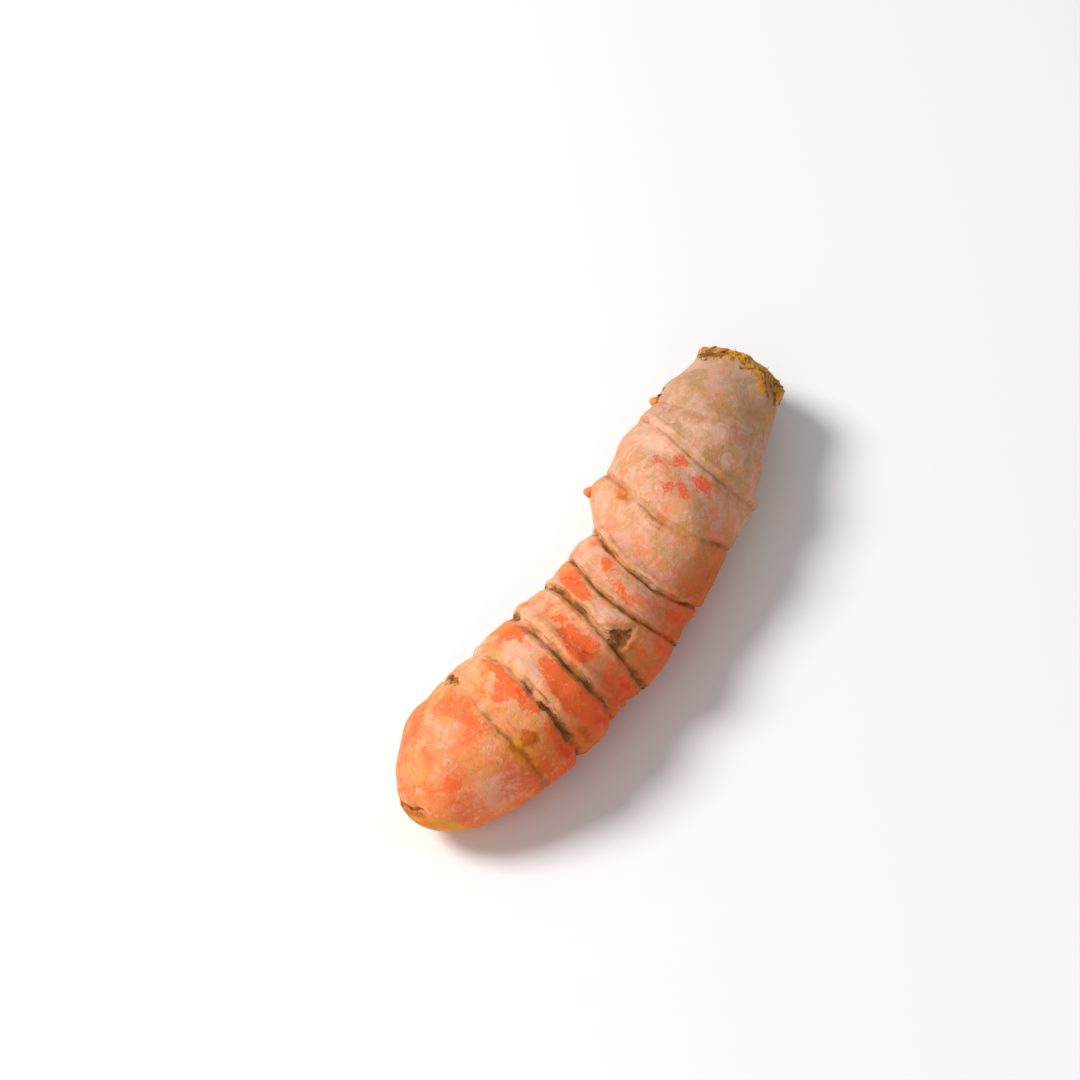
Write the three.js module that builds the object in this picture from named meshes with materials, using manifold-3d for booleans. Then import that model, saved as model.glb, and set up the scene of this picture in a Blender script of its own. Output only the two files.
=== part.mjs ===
// A fresh finger of turmeric root: one grown rhizome, lying on its side.
// Millimetres, +Z up. The growing tip points to -X and the broken crown to +X.
// The skin is a tube of bands between leaf-scar rings. Each band ends in a small lip at its tip
// side, and the next band steps in behind it. Angles run round the root: 0 is +Y, 90 is up.

import * as THREE from 'three';
import { mergeVertices } from 'three/addons/utils/BufferGeometryUtils.js';
import Module from 'manifold-3d';

const wasm = await Module();
wasm.setup();

// Length of the root
const TIP_X = -51.7;
const CROWN_X = 49.5;

// The tip's dome
const DOME_X = -36;
const DOME_RADIUS = 11.4;
const DOME_TAPER = 1.6;
const DOME_BLUNTNESS = 0.5;

// The root is a little lower than wide, and flatter below than above
const TOP_HEIGHT = 0.97;
const BASE_HEIGHT = 0.9;

// The middle line and the radius along the root
const STATIONS = [
  { x: -52.4, side: 1.9, height: 8.6, radius: 0 },
  { x: -48, side: 1.3, height: 9.3, radius: 6.2 },
  { x: -42, side: 0.6, height: 10.2, radius: 10.2 },
  { x: -36, side: -0.7, height: 10.7, radius: DOME_RADIUS },
  { x: -30, side: -1.9, height: 10.8, radius: 11.9 },
  { x: -24, side: -3.3, height: 10.7, radius: 11.8 },
  { x: -18, side: -3.0, height: 10.3, radius: 11.1 },
  { x: -12, side: -4.9, height: 10.3, radius: 11.6 },
  { x: -6, side: -5.3, height: 10.0, radius: 11.2 },
  { x: 0, side: -5.2, height: 9.8, radius: 10.7 },
  { x: 6, side: -5.6, height: 10.2, radius: 10.3 },
  { x: 12, side: -3.9, height: 10.8, radius: 11.9 },
  { x: 18, side: -3.2, height: 11.0, radius: 11.7 },
  { x: 24, side: -2.2, height: 11.0, radius: 11.7 },
  { x: 30, side: -1.9, height: 10.8, radius: 10.9 },
  { x: 36, side: -0.7, height: 10.6, radius: 10.1 },
  { x: 42, side: -0.7, height: 10.4, radius: 8.5 },
  { x: 48, side: 0.2, height: 10.2, radius: 7.5 },
  { x: 54, side: 0.4, height: 10.0, radius: 6.9 },
];

// The leaf-scar rings from crown to tip. side, top, wave and twist say how each runs round the
// root, depth and width are its crease, and lip is the edge that stands over it.
const RINGS = [
  { x: 33.6, side: -1.5, top: -3.0, wave: 1.3, twist: 0.3, depth: 0.2, width: 0.5, lip: 0.12 },
  { x: 25.1, side: 2.1, top: -2.8, wave: 1.0, twist: 0.9, depth: 0.4, width: 0.5, lip: 0.28 },
  { x: 14.1, side: 0.7, top: -4.3, wave: 1.4, twist: 0.9, depth: 0.45, width: 0.6, lip: 0.3 },
  { x: 3.4, side: 1.7, top: -4.3, wave: 1.1, twist: 1.0, depth: 0.6, width: 0.5, lip: 0.55 },
  { x: -3.9, side: 2.3, top: -3.5, wave: 1.4, twist: 0.7, depth: 0.4, width: 0.4, lip: 0.28 },
  { x: -11.4, side: 2.6, top: -1.7, wave: 0.2, twist: 0.7, depth: 0.5, width: 0.5, lip: 0.32 },
  { x: -19.0, side: 3.2, top: -1.6, wave: 0.7, twist: 0.3, depth: 0.65, width: 0.8, lip: 0.42 },
  { x: -27.7, side: 1.9, top: -1.1, wave: 0.0, twist: 0.7, depth: 0.6, width: 0.7, lip: 0.32 },
  { x: -34.5, side: 2.9, top: -1.3, wave: 0.5, twist: 0.4, depth: 0.35, width: 0.5, lip: 0.18 },
];

// The crown is a broken, knobby end, tilted up, and its rim turns in
const CROWN = { x: CROWN_X, side: 0.3, top: -2.6, wave: 0, twist: 0 };
const CROWN_SWELL = 1.6;
const RIM_WIDTH = 2.4;
const RIM_LIP = 0.35;
const RIM_ROUND = 1.0;
const RIM_TURN = 0.9;
const RIM_KNOBS = [
  { height: 0.32, waves: 2, phase: 0.9 },
  { height: 0.26, waves: 3, phase: 2.4 },
  { height: 0.2, waves: 5, phase: 1.0 },
];

// Where the crown is torn: how far back from the rim and at what angle, and hollow or raised
const TEARS = [
  { back: 3.2, angle: 147, reach: -0.85, along: 1.7, round: 10 },
  { back: 2.2, angle: 168, reach: 0.6, along: 2.2, round: 9 },
  { back: 1.6, angle: 52, reach: -0.45, along: 1.2, round: 12 },
  { back: 1.8, angle: 250, reach: 0.4, along: 1.6, round: 14 },
];

// Rounded swellings of the skin: knobs where side shoots began, and the low points underneath
const SWELLINGS = [
  { x: 12.3, angle: 9, reach: 0.9, along: 2.4, round: 15 },
  { x: 25.2, angle: 191, reach: 1.3, along: 2.6, round: 15 },
  { x: -30.0, angle: 270, reach: 0.65, along: 5.0, round: 30 },
  { x: -8.0, angle: 270, reach: 0.6, along: 5.0, round: 30 },
  { x: 19.0, angle: 270, reach: 1.2, along: 6.0, round: 30 },
];

// Slow unevenness of the skin: amplitude, turns per millimetre, waves round, phase
const UNEVENNESS = [
  { height: 0.18, along: 0.31, round: 2, phase: 0.6 },
  { height: 0.14, along: 0.47, round: -3, phase: 1.9 },
  { height: 0.1, along: 0.73, round: 4, phase: 4.0 },
  { height: 0.08, along: 1.1, round: -5, phase: 2.2 },
];

// Broken root and shoot stubs standing on the skin
const STUBS = [
  { x: 32.3, angle: 22, radius: 1.15, rise: 1.3, lean: 10 },
  { x: 12.0, angle: 9, radius: 1.1, rise: 1.2, lean: 0 },
  { x: 21.4, angle: 262, radius: 0.9, rise: 0.6, lean: 0 },
  { x: -6.5, angle: 330, radius: 1.0, rise: 1.0, lean: 15 },
  { x: -15.5, angle: 214, radius: 0.9, rise: 0.9, lean: 10 },
  { x: -31.0, angle: 344, radius: 0.85, rise: 0.8, lean: 0 },
];

// Round eyes: a flat collar with a small bud in it
const EYES = [
  { x: -36.0, angle: 133, radius: 1.4, rise: 0.3 },
  { x: -24.0, angle: 318, radius: 1.5, rise: 0.3 },
  { x: 1.5, angle: 236, radius: 1.6, rise: 0.35 },
];

// The three-cornered scar on the upper side
const SCAR = { x: -13.4, angle: 127, radius: 2.55, depth: 0.8, turn: -40 };

// Facets
const COLUMNS = 50;
const BAND_ROWS = 3;
const DOME_ROWS = 9;
const CROWN_FACE = [0, 0.35, 0.65, 0.88];
const STUB_SIDES = 9;
const STUB_SINK = 1.6;

const TURN = Math.PI * 2;
const degrees = THREE.MathUtils.degToRad;

// A smooth curve through the stations' values of one kind
function along(kind, x) {
  const last = STATIONS.length - 1;
  const slope = (i) => {
    const a = STATIONS[Math.max(i - 1, 0)];
    const b = STATIONS[Math.min(i + 1, last)];
    return (b[kind] - a[kind]) / (b.x - a.x);
  };
  let k = 0;
  while (k < last - 1 && STATIONS[k + 1].x < x) {
    k += 1;
  }
  const a = STATIONS[k];
  const b = STATIONS[k + 1];
  const h = b.x - a.x;
  const t = THREE.MathUtils.clamp((x - a.x) / h, 0, 1);
  const t2 = t * t;
  const t3 = t2 * t;
  return (2 * t3 - 3 * t2 + 1) * a[kind] + (t3 - 2 * t2 + t) * h * slope(k)
    + (3 * t2 - 2 * t3) * b[kind] + (t3 - t2) * h * slope(k + 1);
}

function radiusAt(x) {
  if (x >= DOME_X) {
    return along('radius', x);
  }
  const t = Math.max((x - TIP_X) / (DOME_X - TIP_X), 0);
  return DOME_RADIUS * (1 - (1 - t) ** DOME_TAPER) ** DOME_BLUNTNESS;
}

// Where a ring lies at one angle round the root
function course(ring, phi) {
  return ring.x + ring.side * Math.cos(phi) + ring.top * Math.sin(phi)
    + ring.wave * Math.cos(2 * phi) + ring.twist * Math.sin(2 * phi);
}

function bell(value) {
  return Math.exp(-value * value);
}

// The signed turn from one angle to another, in degrees
function turnFrom(phi, angle) {
  const off = THREE.MathUtils.radToDeg(phi) - angle;
  return THREE.MathUtils.euclideanModulo(off + 180, 360) - 180;
}

// How far the skin stands off near the crown's rim
function crownRelief(x, phi) {
  const back = course(CROWN, phi) - x;
  let lip = RIM_LIP;
  for (const knob of RIM_KNOBS) {
    lip += knob.height * Math.sin(knob.waves * phi + knob.phase);
  }
  let rise = lip * bell(back / RIM_WIDTH) - RIM_ROUND * bell(back / RIM_TURN);
  for (const tear of TEARS) {
    const turn = turnFrom(phi, tear.angle) / tear.round;
    rise += tear.reach * bell((back - tear.back) / tear.along) * bell(turn);
  }
  return rise;
}

// How far the skin stands off the smooth tube: creases, lips, knobs and slow unevenness
function relief(x, phi) {
  let rise = 0;
  for (const ring of RINGS) {
    const s = x - course(ring, phi);
    rise -= ring.depth * bell(s / ring.width);
    if (s > 0) {
      rise += ring.lip * bell((s - 1.8 * ring.width) / (1.5 * ring.width));
    } else {
      rise -= 0.6 * ring.lip * Math.exp(s / 1.8);
    }
  }
  for (const knob of SWELLINGS) {
    const turn = turnFrom(phi, knob.angle) / knob.round;
    rise += knob.reach * bell((x - knob.x) / knob.along) * bell(turn);
  }
  for (const wave of UNEVENNESS) {
    rise += wave.height * Math.sin(wave.along * x + wave.round * phi + wave.phase);
  }
  rise += crownRelief(x, phi);
  const fade = THREE.MathUtils.clamp((x - TIP_X) / 6, 0, 1);
  return rise * fade;
}

function skinRadius(x, phi) {
  const s = Math.sin(phi);
  const squash = 1 + ((s > 0 ? TOP_HEIGHT : BASE_HEIGHT) - 1) * s * s;
  return radiusAt(x) * squash + relief(x, phi);
}

function skinPoint(x, phi) {
  const r = skinRadius(x, phi);
  return new THREE.Vector3(x, along('side', x) + r * Math.cos(phi), along('height', x) + r * Math.sin(phi));
}

// The rows of the skin, from the middle of the crown's face to the tip. Each gives a point for
// an angle. Rows crowd at the rings, so that the crease and the lip are true there.
function skinRows() {
  const rows = [];
  const middle = new THREE.Vector3(CROWN_X, along('side', CROWN_X), along('height', CROWN_X));
  for (const q of CROWN_FACE) {
    rows.push((phi) => {
      const x = course(CROWN, phi);
      const point = skinPoint(x, phi);
      const swell = CROWN_SWELL * (1 - q ** 2.5) + 1.1 * q * (1 - q) * Math.sin(3 * phi + 0.5);
      point.lerpVectors(middle, point, q);
      point.x += swell;
      return point;
    });
  }
  const rim = (phi) => course(CROWN, phi);
  for (const step of [0, 0.5, 1.2, 2.2, 3.4]) {
    rows.push((phi) => skinPoint(rim(phi) - step, phi));
  }
  let from = (phi) => rim(phi) - 3.4;
  for (const ring of RINGS) {
    const start = from;
    const place = (phi) => course(ring, phi);
    const end = (phi) => place(phi) + 3.2 * ring.width;
    for (let k = 1; k <= BAND_ROWS; k += 1) {
      const f = k / (BAND_ROWS + 1);
      rows.push((phi) => skinPoint(THREE.MathUtils.lerp(start(phi), end(phi), f), phi));
    }
    for (const offset of [3.2, 1.8, 0.8, 0, -0.9, -2.2]) {
      rows.push((phi) => skinPoint(place(phi) + offset * ring.width, phi));
    }
    from = (phi) => place(phi) - 2.2 * ring.width;
  }
  const dome = from;
  for (let k = 1; k <= DOME_ROWS; k += 1) {
    const f = Math.sin((k / DOME_ROWS) * Math.PI / 2);
    rows.push((phi) => skinPoint(THREE.MathUtils.lerp(dome(phi), TIP_X, f), phi));
  }
  return rows;
}

// The skin starts as a sphere's net of rows and columns, drawn out over the root
function skinGeometry() {
  const rows = skinRows();
  const geometry = new THREE.SphereGeometry(1, COLUMNS, rows.length - 1);
  const position = geometry.getAttribute('position');
  for (let i = 0; i < position.count; i += 1) {
    const column = i % (COLUMNS + 1);
    const row = Math.floor(i / (COLUMNS + 1));
    const phi = ((column % COLUMNS) / COLUMNS) * TURN;
    const point = rows[row](phi);
    position.setXYZ(i, point.x, point.y, point.z);
  }
  return geometry;
}

function solid(geometry) {
  geometry.deleteAttribute('normal');
  geometry.deleteAttribute('uv');
  const merged = mergeVertices(geometry, 1e-4);
  return new wasm.Manifold(new wasm.Mesh({
    numProp: 3,
    vertProperties: new Float32Array(merged.getAttribute('position').array),
    triVerts: new Uint32Array(merged.index.array),
  }));
}

// Stands a geometry, whose own +Z is up, on the skin at one place. Its +X then points to the
// crown; turn spins it on the spot and lean tips it that way.
function standOnSkin(geometry, place, lean = 0, turn = 0) {
  const phi = degrees(place.angle);
  const point = skinPoint(place.x, phi);
  const ahead = skinPoint(place.x + 0.5, phi).sub(skinPoint(place.x - 0.5, phi)).normalize();
  const round = skinPoint(place.x, phi + 0.05).sub(skinPoint(place.x, phi - 0.05));
  const out = new THREE.Vector3().crossVectors(round, ahead).normalize();
  const across = new THREE.Vector3().crossVectors(out, ahead);
  geometry.rotateZ(degrees(turn));
  geometry.rotateY(degrees(lean));
  geometry.applyMatrix4(new THREE.Matrix4().makeBasis(ahead, across, out).setPosition(point));
  return geometry;
}

// A stub is a short blunt peg, wider at its root
function stubGeometry(stub) {
  const { radius, rise } = stub;
  const outline = [
    new THREE.Vector2(0, -STUB_SINK),
    new THREE.Vector2(radius * 1.5, -STUB_SINK),
    new THREE.Vector2(radius * 1.25, 0.1),
    new THREE.Vector2(radius, rise * 0.6),
    new THREE.Vector2(radius * 0.6, rise),
    new THREE.Vector2(0, rise * 1.05),
  ];
  const geometry = new THREE.LatheGeometry(outline, STUB_SIDES);
  geometry.rotateX(Math.PI / 2);
  return standOnSkin(geometry, stub, stub.lean);
}

function eyeGeometry(eye) {
  const { radius, rise } = eye;
  const outline = [
    new THREE.Vector2(0, -STUB_SINK),
    new THREE.Vector2(radius * 1.1, -STUB_SINK),
    new THREE.Vector2(radius, rise * 0.7),
    new THREE.Vector2(radius * 0.8, rise),
    new THREE.Vector2(radius * 0.5, rise * 0.4),
    new THREE.Vector2(radius * 0.3, rise * 1.2),
    new THREE.Vector2(0, rise * 1.5),
  ];
  const geometry = new THREE.LatheGeometry(outline, STUB_SIDES + 3);
  geometry.rotateX(Math.PI / 2);
  return standOnSkin(geometry, eye);
}

// A blunt three-sided pit, wide at the skin
function scarGeometry() {
  const tall = SCAR.depth * 2;
  const geometry = new THREE.CylinderGeometry(SCAR.radius * 1.7, SCAR.radius * 0.3, tall, 3);
  geometry.rotateX(Math.PI / 2);
  return standOnSkin(geometry, SCAR, 0, SCAR.turn);
}

function rhizomeGeometry() {
  let root = solid(skinGeometry());
  for (const stub of STUBS) {
    root = root.add(solid(stubGeometry(stub)));
  }
  for (const eye of EYES) {
    root = root.add(solid(eyeGeometry(eye)));
  }
  root = root.subtract(solid(scarGeometry()));
  const ground = new THREE.BoxGeometry(140, 60, 20);
  ground.translate(0, 0, -10);
  root = root.subtract(solid(ground));
  const mesh = root.getMesh();
  const geometry = new THREE.BufferGeometry();
  geometry.setAttribute('position', new THREE.BufferAttribute(mesh.vertProperties, 3));
  geometry.setIndex(new THREE.BufferAttribute(mesh.triVerts, 1));
  geometry.computeBoundingBox();
  const centre = geometry.boundingBox.getCenter(new THREE.Vector3());
  geometry.translate(-centre.x, -centre.y, 0);
  geometry.computeVertexNormals();
  return geometry;
}

const skin = new THREE.MeshStandardMaterial({ color: 0xd9825c, roughness: 0.62, metalness: 0 });
const rhizome = new THREE.Mesh(rhizomeGeometry(), skin);
rhizome.name = 'rhizome';

const root = new THREE.Group();
root.add(rhizome);

export default root;
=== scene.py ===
import math

import bmesh
import bpy
import numpy as np
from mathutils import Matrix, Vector


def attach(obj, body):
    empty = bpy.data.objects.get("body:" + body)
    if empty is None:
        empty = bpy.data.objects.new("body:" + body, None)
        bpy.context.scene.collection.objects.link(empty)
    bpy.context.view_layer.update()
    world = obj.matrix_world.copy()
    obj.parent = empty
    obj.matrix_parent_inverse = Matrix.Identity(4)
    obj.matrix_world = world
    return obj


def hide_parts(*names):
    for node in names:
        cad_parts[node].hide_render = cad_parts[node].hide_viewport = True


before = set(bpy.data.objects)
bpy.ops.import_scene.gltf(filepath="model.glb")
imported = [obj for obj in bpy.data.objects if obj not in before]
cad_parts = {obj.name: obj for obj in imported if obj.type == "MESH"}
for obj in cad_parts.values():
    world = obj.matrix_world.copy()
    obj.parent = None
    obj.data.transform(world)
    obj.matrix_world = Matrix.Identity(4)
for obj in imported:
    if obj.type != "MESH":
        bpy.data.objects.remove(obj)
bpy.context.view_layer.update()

# A fresh finger of turmeric root, lying on its side on a pale floor.
# The form is worked out in millimetres with the growing tip at -X and the broken crown at +X,
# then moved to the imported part's own place. Angles run round the root: 0 is +Y, 90 is up.
# A band number says where a point lies along the root: 0 is the crown's rim, 1 to 9 are the
# leaf-scar rings, and 10 is the tip.

MM = 0.001

# ---- The root's form, the same values as the solid

TIP_X = -51.7
CROWN_X = 49.5
DOME_X = -36.0
DOME_RADIUS = 11.4
DOME_TAPER = 1.6
DOME_BLUNTNESS = 0.5
TOP_HEIGHT = 0.97
BASE_HEIGHT = 0.9
MIDDLE_OF_BOX = np.array([0.384, -2.678, 0])   # where the solid's box has its middle, as drawn

# Place along, sideways, height of the middle, radius
STATIONS = np.array([
    (-52.4, 1.9, 8.6, 0), (-48, 1.3, 9.3, 6.2), (-42, 0.6, 10.2, 10.2), (-36, -0.7, 10.7, 11.4),
    (-30, -1.9, 10.8, 11.9), (-24, -3.3, 10.7, 11.8), (-18, -3.0, 10.3, 11.1),
    (-12, -4.9, 10.3, 11.6), (-6, -5.3, 10.0, 11.2), (0, -5.2, 9.8, 10.7), (6, -5.6, 10.2, 10.3),
    (12, -3.9, 10.8, 11.9), (18, -3.2, 11.0, 11.7), (24, -2.2, 11.0, 11.7), (30, -1.9, 10.8, 10.9),
    (36, -0.7, 10.6, 10.1), (42, -0.7, 10.4, 8.5), (48, 0.2, 10.2, 7.5), (54, 0.4, 10.0, 6.9),
], float)

# The rim of the crown, then the rings: place, side, top, wave, twist, depth, width, lip
RINGS = np.array([
    (49.5, 0.3, -2.6, 0.0, 0.0, 0.0, 1.0, 0.0),
    (33.6, -1.5, -3.0, 1.3, 0.3, 0.2, 0.5, 0.12),
    (25.1, 2.1, -2.8, 1.0, 0.9, 0.4, 0.5, 0.28),
    (14.1, 0.7, -4.3, 1.4, 0.9, 0.45, 0.6, 0.3),
    (3.4, 1.7, -4.3, 1.1, 1.0, 0.6, 0.5, 0.55),
    (-3.9, 2.3, -3.5, 1.4, 0.7, 0.4, 0.4, 0.28),
    (-11.4, 2.6, -1.7, 0.2, 0.7, 0.5, 0.5, 0.32),
    (-19.0, 3.2, -1.6, 0.7, 0.3, 0.65, 0.8, 0.42),
    (-27.7, 1.9, -1.1, 0.0, 0.7, 0.6, 0.7, 0.32),
    (-34.5, 2.9, -1.3, 0.5, 0.4, 0.35, 0.5, 0.18),
], float)
LAST_RING = len(RINGS) - 1

CROWN_SWELL = 1.6
RIM_WIDTH = 2.4
RIM_LIP = 0.35
RIM_ROUND = 1.0
RIM_TURN = 0.9

# Height, waves round, phase
RIM_KNOBS = [(0.32, 2, 0.9), (0.26, 3, 2.4), (0.2, 5, 1.0)]

# Where the crown is torn: back from the rim, angle, reach, length along, spread round in degrees
TEARS = [
    (3.2, 147, -0.85, 1.7, 10), (2.2, 168, 0.6, 2.2, 9), (1.6, 52, -0.45, 1.2, 12),
    (1.8, 250, 0.4, 1.6, 14),
]

# Place, angle, reach, length along, spread round in degrees
SWELLINGS = [
    (12.3, 9, 0.9, 2.4, 15), (25.2, 191, 1.3, 2.6, 15),
    (-30.0, 270, 0.65, 5.0, 30), (-8.0, 270, 0.6, 5.0, 30), (19.0, 270, 1.2, 6.0, 30),
]

# Height, turns per millimetre, waves round, phase
UNEVENNESS = [
    (0.18, 0.31, 2, 0.6), (0.14, 0.47, -3, 1.9), (0.1, 0.73, 4, 4.0), (0.08, 1.1, -5, 2.2),
]

# Place, angle, radius, rise, lean
BUDS = [
    (32.3, 22, 1.15, 1.3, 10), (12.0, 9, 1.1, 1.2, 0), (21.4, 262, 0.9, 0.6, 0),
    (-6.5, 330, 1.0, 1.0, 15), (-15.5, 214, 0.9, 0.9, 10), (-31.0, 344, 0.85, 0.8, 0),
]

# Place, angle, radius, rise
EYES = [(-36.0, 133, 1.4, 0.3), (-24.0, 318, 1.5, 0.3), (1.5, 236, 1.6, 0.35)]

# The three-cornered scar
SCAR_X, SCAR_ANGLE, SCAR_RADIUS, SCAR_DEPTH, SCAR_TURN = -13.4, 127, 2.55, 0.8, -40

# The tip's yellow scar lies beyond a plane: how much of x, y and z, and the plane's own distance
TIP_SCAR_PLANE = (-0.6, -0.26, -0.75, -22.3)
TIP_SCAR_X = -40

# A small pit: place, angle and the radius there, then its depth and size
PIT_PLACE, PIT_DEPTH, PIT_SIZE = (9.7, 57, 11), 0.5, 0.7

# Radius by which angles are turned into millimetres, on the skin and at the three-cornered scar
SKIN_RADIUS = 11.4
SCAR_ROUND = 11.3

# ---- How fine the skin is, and what grows on it

COLUMNS = 228
CROWN_ROWS = 18
FIRST_BAND_ROWS = 52
BAND_ROWS = 37
DOME_ROWS = 58

# A bud's columns and rows, and how many millimetres its foot lies below the skin
BUD_COLUMNS = 20
BUD_ROWS = 9
BUD_SINK = 1.0

# For each ring: how dark and how sharp its crease is, how wide its floor is, and how much of the
# solid's groove and lip is worn away
RING_DARK = [0.10, 0.30, 0.38, 0.78, 0.80, 0.75, 0.95, 0.95, 0.50]
RING_SHARP = [0.05, 0.14, 0.18, 0.7, 0.75, 0.68, 0.92, 0.95, 0.35]
RING_FLOOR = [0.60, 0.90, 0.90, 0.32, 0.40, 0.60, 0.95, 0.75, 0.50]
RING_WORN = [0.60, 0.25, 0.30, 0.45, 0.50, 0.50, 0.40, 0.40, 0.60]

# The dry lip over each crease: points round a ring, its steps outwards and back over the crease,
# how much of it each ring has, and its sizes in metres
FRINGE_POINTS = 240
FRINGE_STEPS = [(0.30, 0.45), (0.45, 0.55), (0.10, 0.30), (-1.1, 0.10)]
FRINGE_SHARE = [0.0, 0.1, 0.2, 0.65, 0.65, 0.7, 0.75, 0.8, 0.4]
FRINGE_SIZES = {"Lift": 0.20 * MM, "Lean": 0.50 * MM}

# Sizes in metres and the seeds of the fibres and scraps, how deep a fibre starts, how far each piece
# leans at random in radians, and how much smaller or larger it may be
FIBRE_SIZES = {"Length": 0.0011, "Thickness": 0.00015, "Bend": 0.0004, "Seed": 3}
FIBRE_ROOT = (0, 0, -0.0004)
SCRAP_SIZES = {"Length": 0.0021, "Width": 0.0011, "Curl": 0.0004, "Seed": 7}
RANDOM_LEAN = 0.35
SMALLEST, LARGEST = 0.5, 1.3

# Fibres in the torn hollow at the crown's side, and two dry scraps beside the bud at ring 1:
# place, angle, lean towards the crown in degrees
HOLLOW_FIBRES = [
    (46.2, 140, 70), (45.6, 146, 60), (45.9, 152, 75), (44.8, 143, 65), (44.2, 150, 70),
    (47.0, 158, 70), (46.6, 148, 80), (45.2, 156, 60), (43.8, 146, 75), (47.4, 138, 60),
    (46.0, 144, 30), (44.9, 152, 40),
]
SCRAP_PLACES = [(33.9, 26, 15), (34.2, 31, 10)]

# ---- Marks on the skin: how strong each is, and its outline as band numbers and angles

# About how many millimetres a band is long and a degree is wide, how far round a mark its soft edge
# is worked out, a distance beyond every edge, and the angle of the side with no listed marks
BAND_LENGTH, DEGREE_LENGTH = 10.0, 0.195
MARK_REACH = 3
FAR_AWAY = 9.0
HIDDEN_ANGLE = 290

BARE_SKIN = [
    (0.8, [(9.33, 21), (9.40, 51), (9.47, 61), (9.58, 51), (9.62, 34), (9.48, 22)]),
    (0.75, [(9.50, 56), (9.05, 44), (9.02, 61), (9.08, 114), (9.21, 108), (9.30, 91), (9.33, 71)]),
    (1.0, [(9.70, 99), (9.61, 103), (9.61, 124), (9.68, 128), (9.75, 115)]),
    (0.7, [(9.83, 107), (9.75, 120), (9.78, 129), (9.85, 120)]),
    (0.8, [(9.76, 142), (9.64, 152), (9.69, 160), (9.77, 152)]),
    (0.5, [(9.69, 48), (9.50, 56), (9.51, 72), (9.61, 76), (9.74, 54)]),
    (0.65, [(9.10, 12), (9.05, 32), (9.28, 46), (9.60, 44), (9.80, 30), (9.60, 8)]),
    (0.75, [(9.15, 128), (9.07, 141), (9.11, 148), (9.20, 137)]),
    (1.0, [(8.23, 51), (8.10, 62), (8.12, 85), (8.10, 106), (8.14, 120), (8.27, 125), (8.45, 112),
           (8.43, 102), (8.74, 94), (8.63, 87), (8.38, 82)]),
    (0.95, [(8.29, 128), (8.16, 136), (8.10, 168), (8.15, 179), (8.47, 169), (8.52, 152),
            (8.40, 138)]),
    (0.85, [(7.56, 41), (7.08, 53), (7.07, 66), (7.50, 75), (7.49, 63), (7.71, 55)]),
    (1.0, [(7.49, 92), (7.22, 98), (7.10, 114), (7.07, 137), (7.08, 168), (7.10, 188), (7.46, 168),
           (7.70, 151), (7.82, 138), (7.84, 126), (7.73, 111)]),
    (0.9, [(6.60, 76), (6.37, 77), (6.34, 88), (6.60, 86)]),
    (1.0, [(6.72, 90), (6.36, 94), (6.21, 124), (6.41, 131), (6.78, 121), (6.87, 106)]),
    (0.8, [(6.30, 137), (6.17, 141), (6.27, 146), (6.40, 141)]),
    (0.8, [(6.40, 152), (6.14, 158), (6.14, 177), (6.36, 183), (6.55, 163)]),
    (1.0, [(5.64, 44), (5.10, 53), (5.26, 73), (5.48, 87), (5.86, 87), (5.92, 77), (5.90, 58)]),
    (0.85, [(5.24, 143), (5.12, 170), (5.40, 182), (5.52, 156)]),
    (0.75, [(4.43, 71), (4.24, 81), (4.50, 90), (4.56, 81)]),
    (0.8, [(4.61, 91), (4.46, 97), (4.52, 107), (4.69, 106), (4.73, 98)]),
    (0.7, [(4.32, 44), (4.10, 46), (4.10, 64), (4.34, 57)]),
    (0.75, [(4.41, 66), (4.18, 76), (4.34, 89), (4.62, 86), (4.54, 73)]),
    (0.7, [(4.66, 91), (4.47, 100), (4.54, 108), (4.79, 101)]),
    (0.9, [(4.34, 140), (4.28, 168), (4.62, 174), (4.68, 150)]),
    (0.5, [(3.84, 66), (3.68, 79), (3.71, 94), (3.83, 84)]),
    (0.45, [(3.71, 89), (3.59, 98), (3.68, 100), (3.78, 94)]),
    (0.85, [(2.40, 69), (2.30, 74), (2.41, 80), (2.50, 74)]),
    (0.9, [(2.17, 88), (2.06, 97), (2.14, 102), (2.32, 90)]),
    (0.9, [(2.65, 87), (2.54, 96), (2.64, 101), (2.77, 93)]),
    (0.9, [(2.53, 101), (2.49, 107), (2.62, 111), (2.66, 105)]),
    (1.0, [(2.29, 105), (2.17, 114), (2.18, 125), (2.32, 122), (2.38, 114)]),
]
ROSE_SKIN = [
    (0.9, [(9.25, 135), (9.05, 160), (9.10, 178), (9.34, 180), (9.46, 164), (9.42, 146)]),
    (0.9, [(1.22, 42), (1.02, 62), (1.02, 72), (1.26, 66), (1.52, 54)]),
    (0.85, [(1.16, 117), (1.06, 130), (1.18, 136), (1.38, 126)]),
    # Painted shade of the shallow fold just above ring 1, laid on as a rose patch
    (0.7, [(0.93, 80), (0.82, 103), (0.88, 110), (1.02, 94)]),
    (0.6, [(2.39, 118), (2.24, 130), (2.67, 140), (2.80, 129)]),
    (0.6, [(6.59, 86), (6.40, 96), (6.61, 100), (6.73, 89)]),
    (0.5, [(3.39, 59), (3.06, 94), (3.10, 107), (3.39, 87)]),
    (0.5, [(4.20, 112), (4.15, 135), (4.40, 138), (4.45, 115)]),
]
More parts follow.
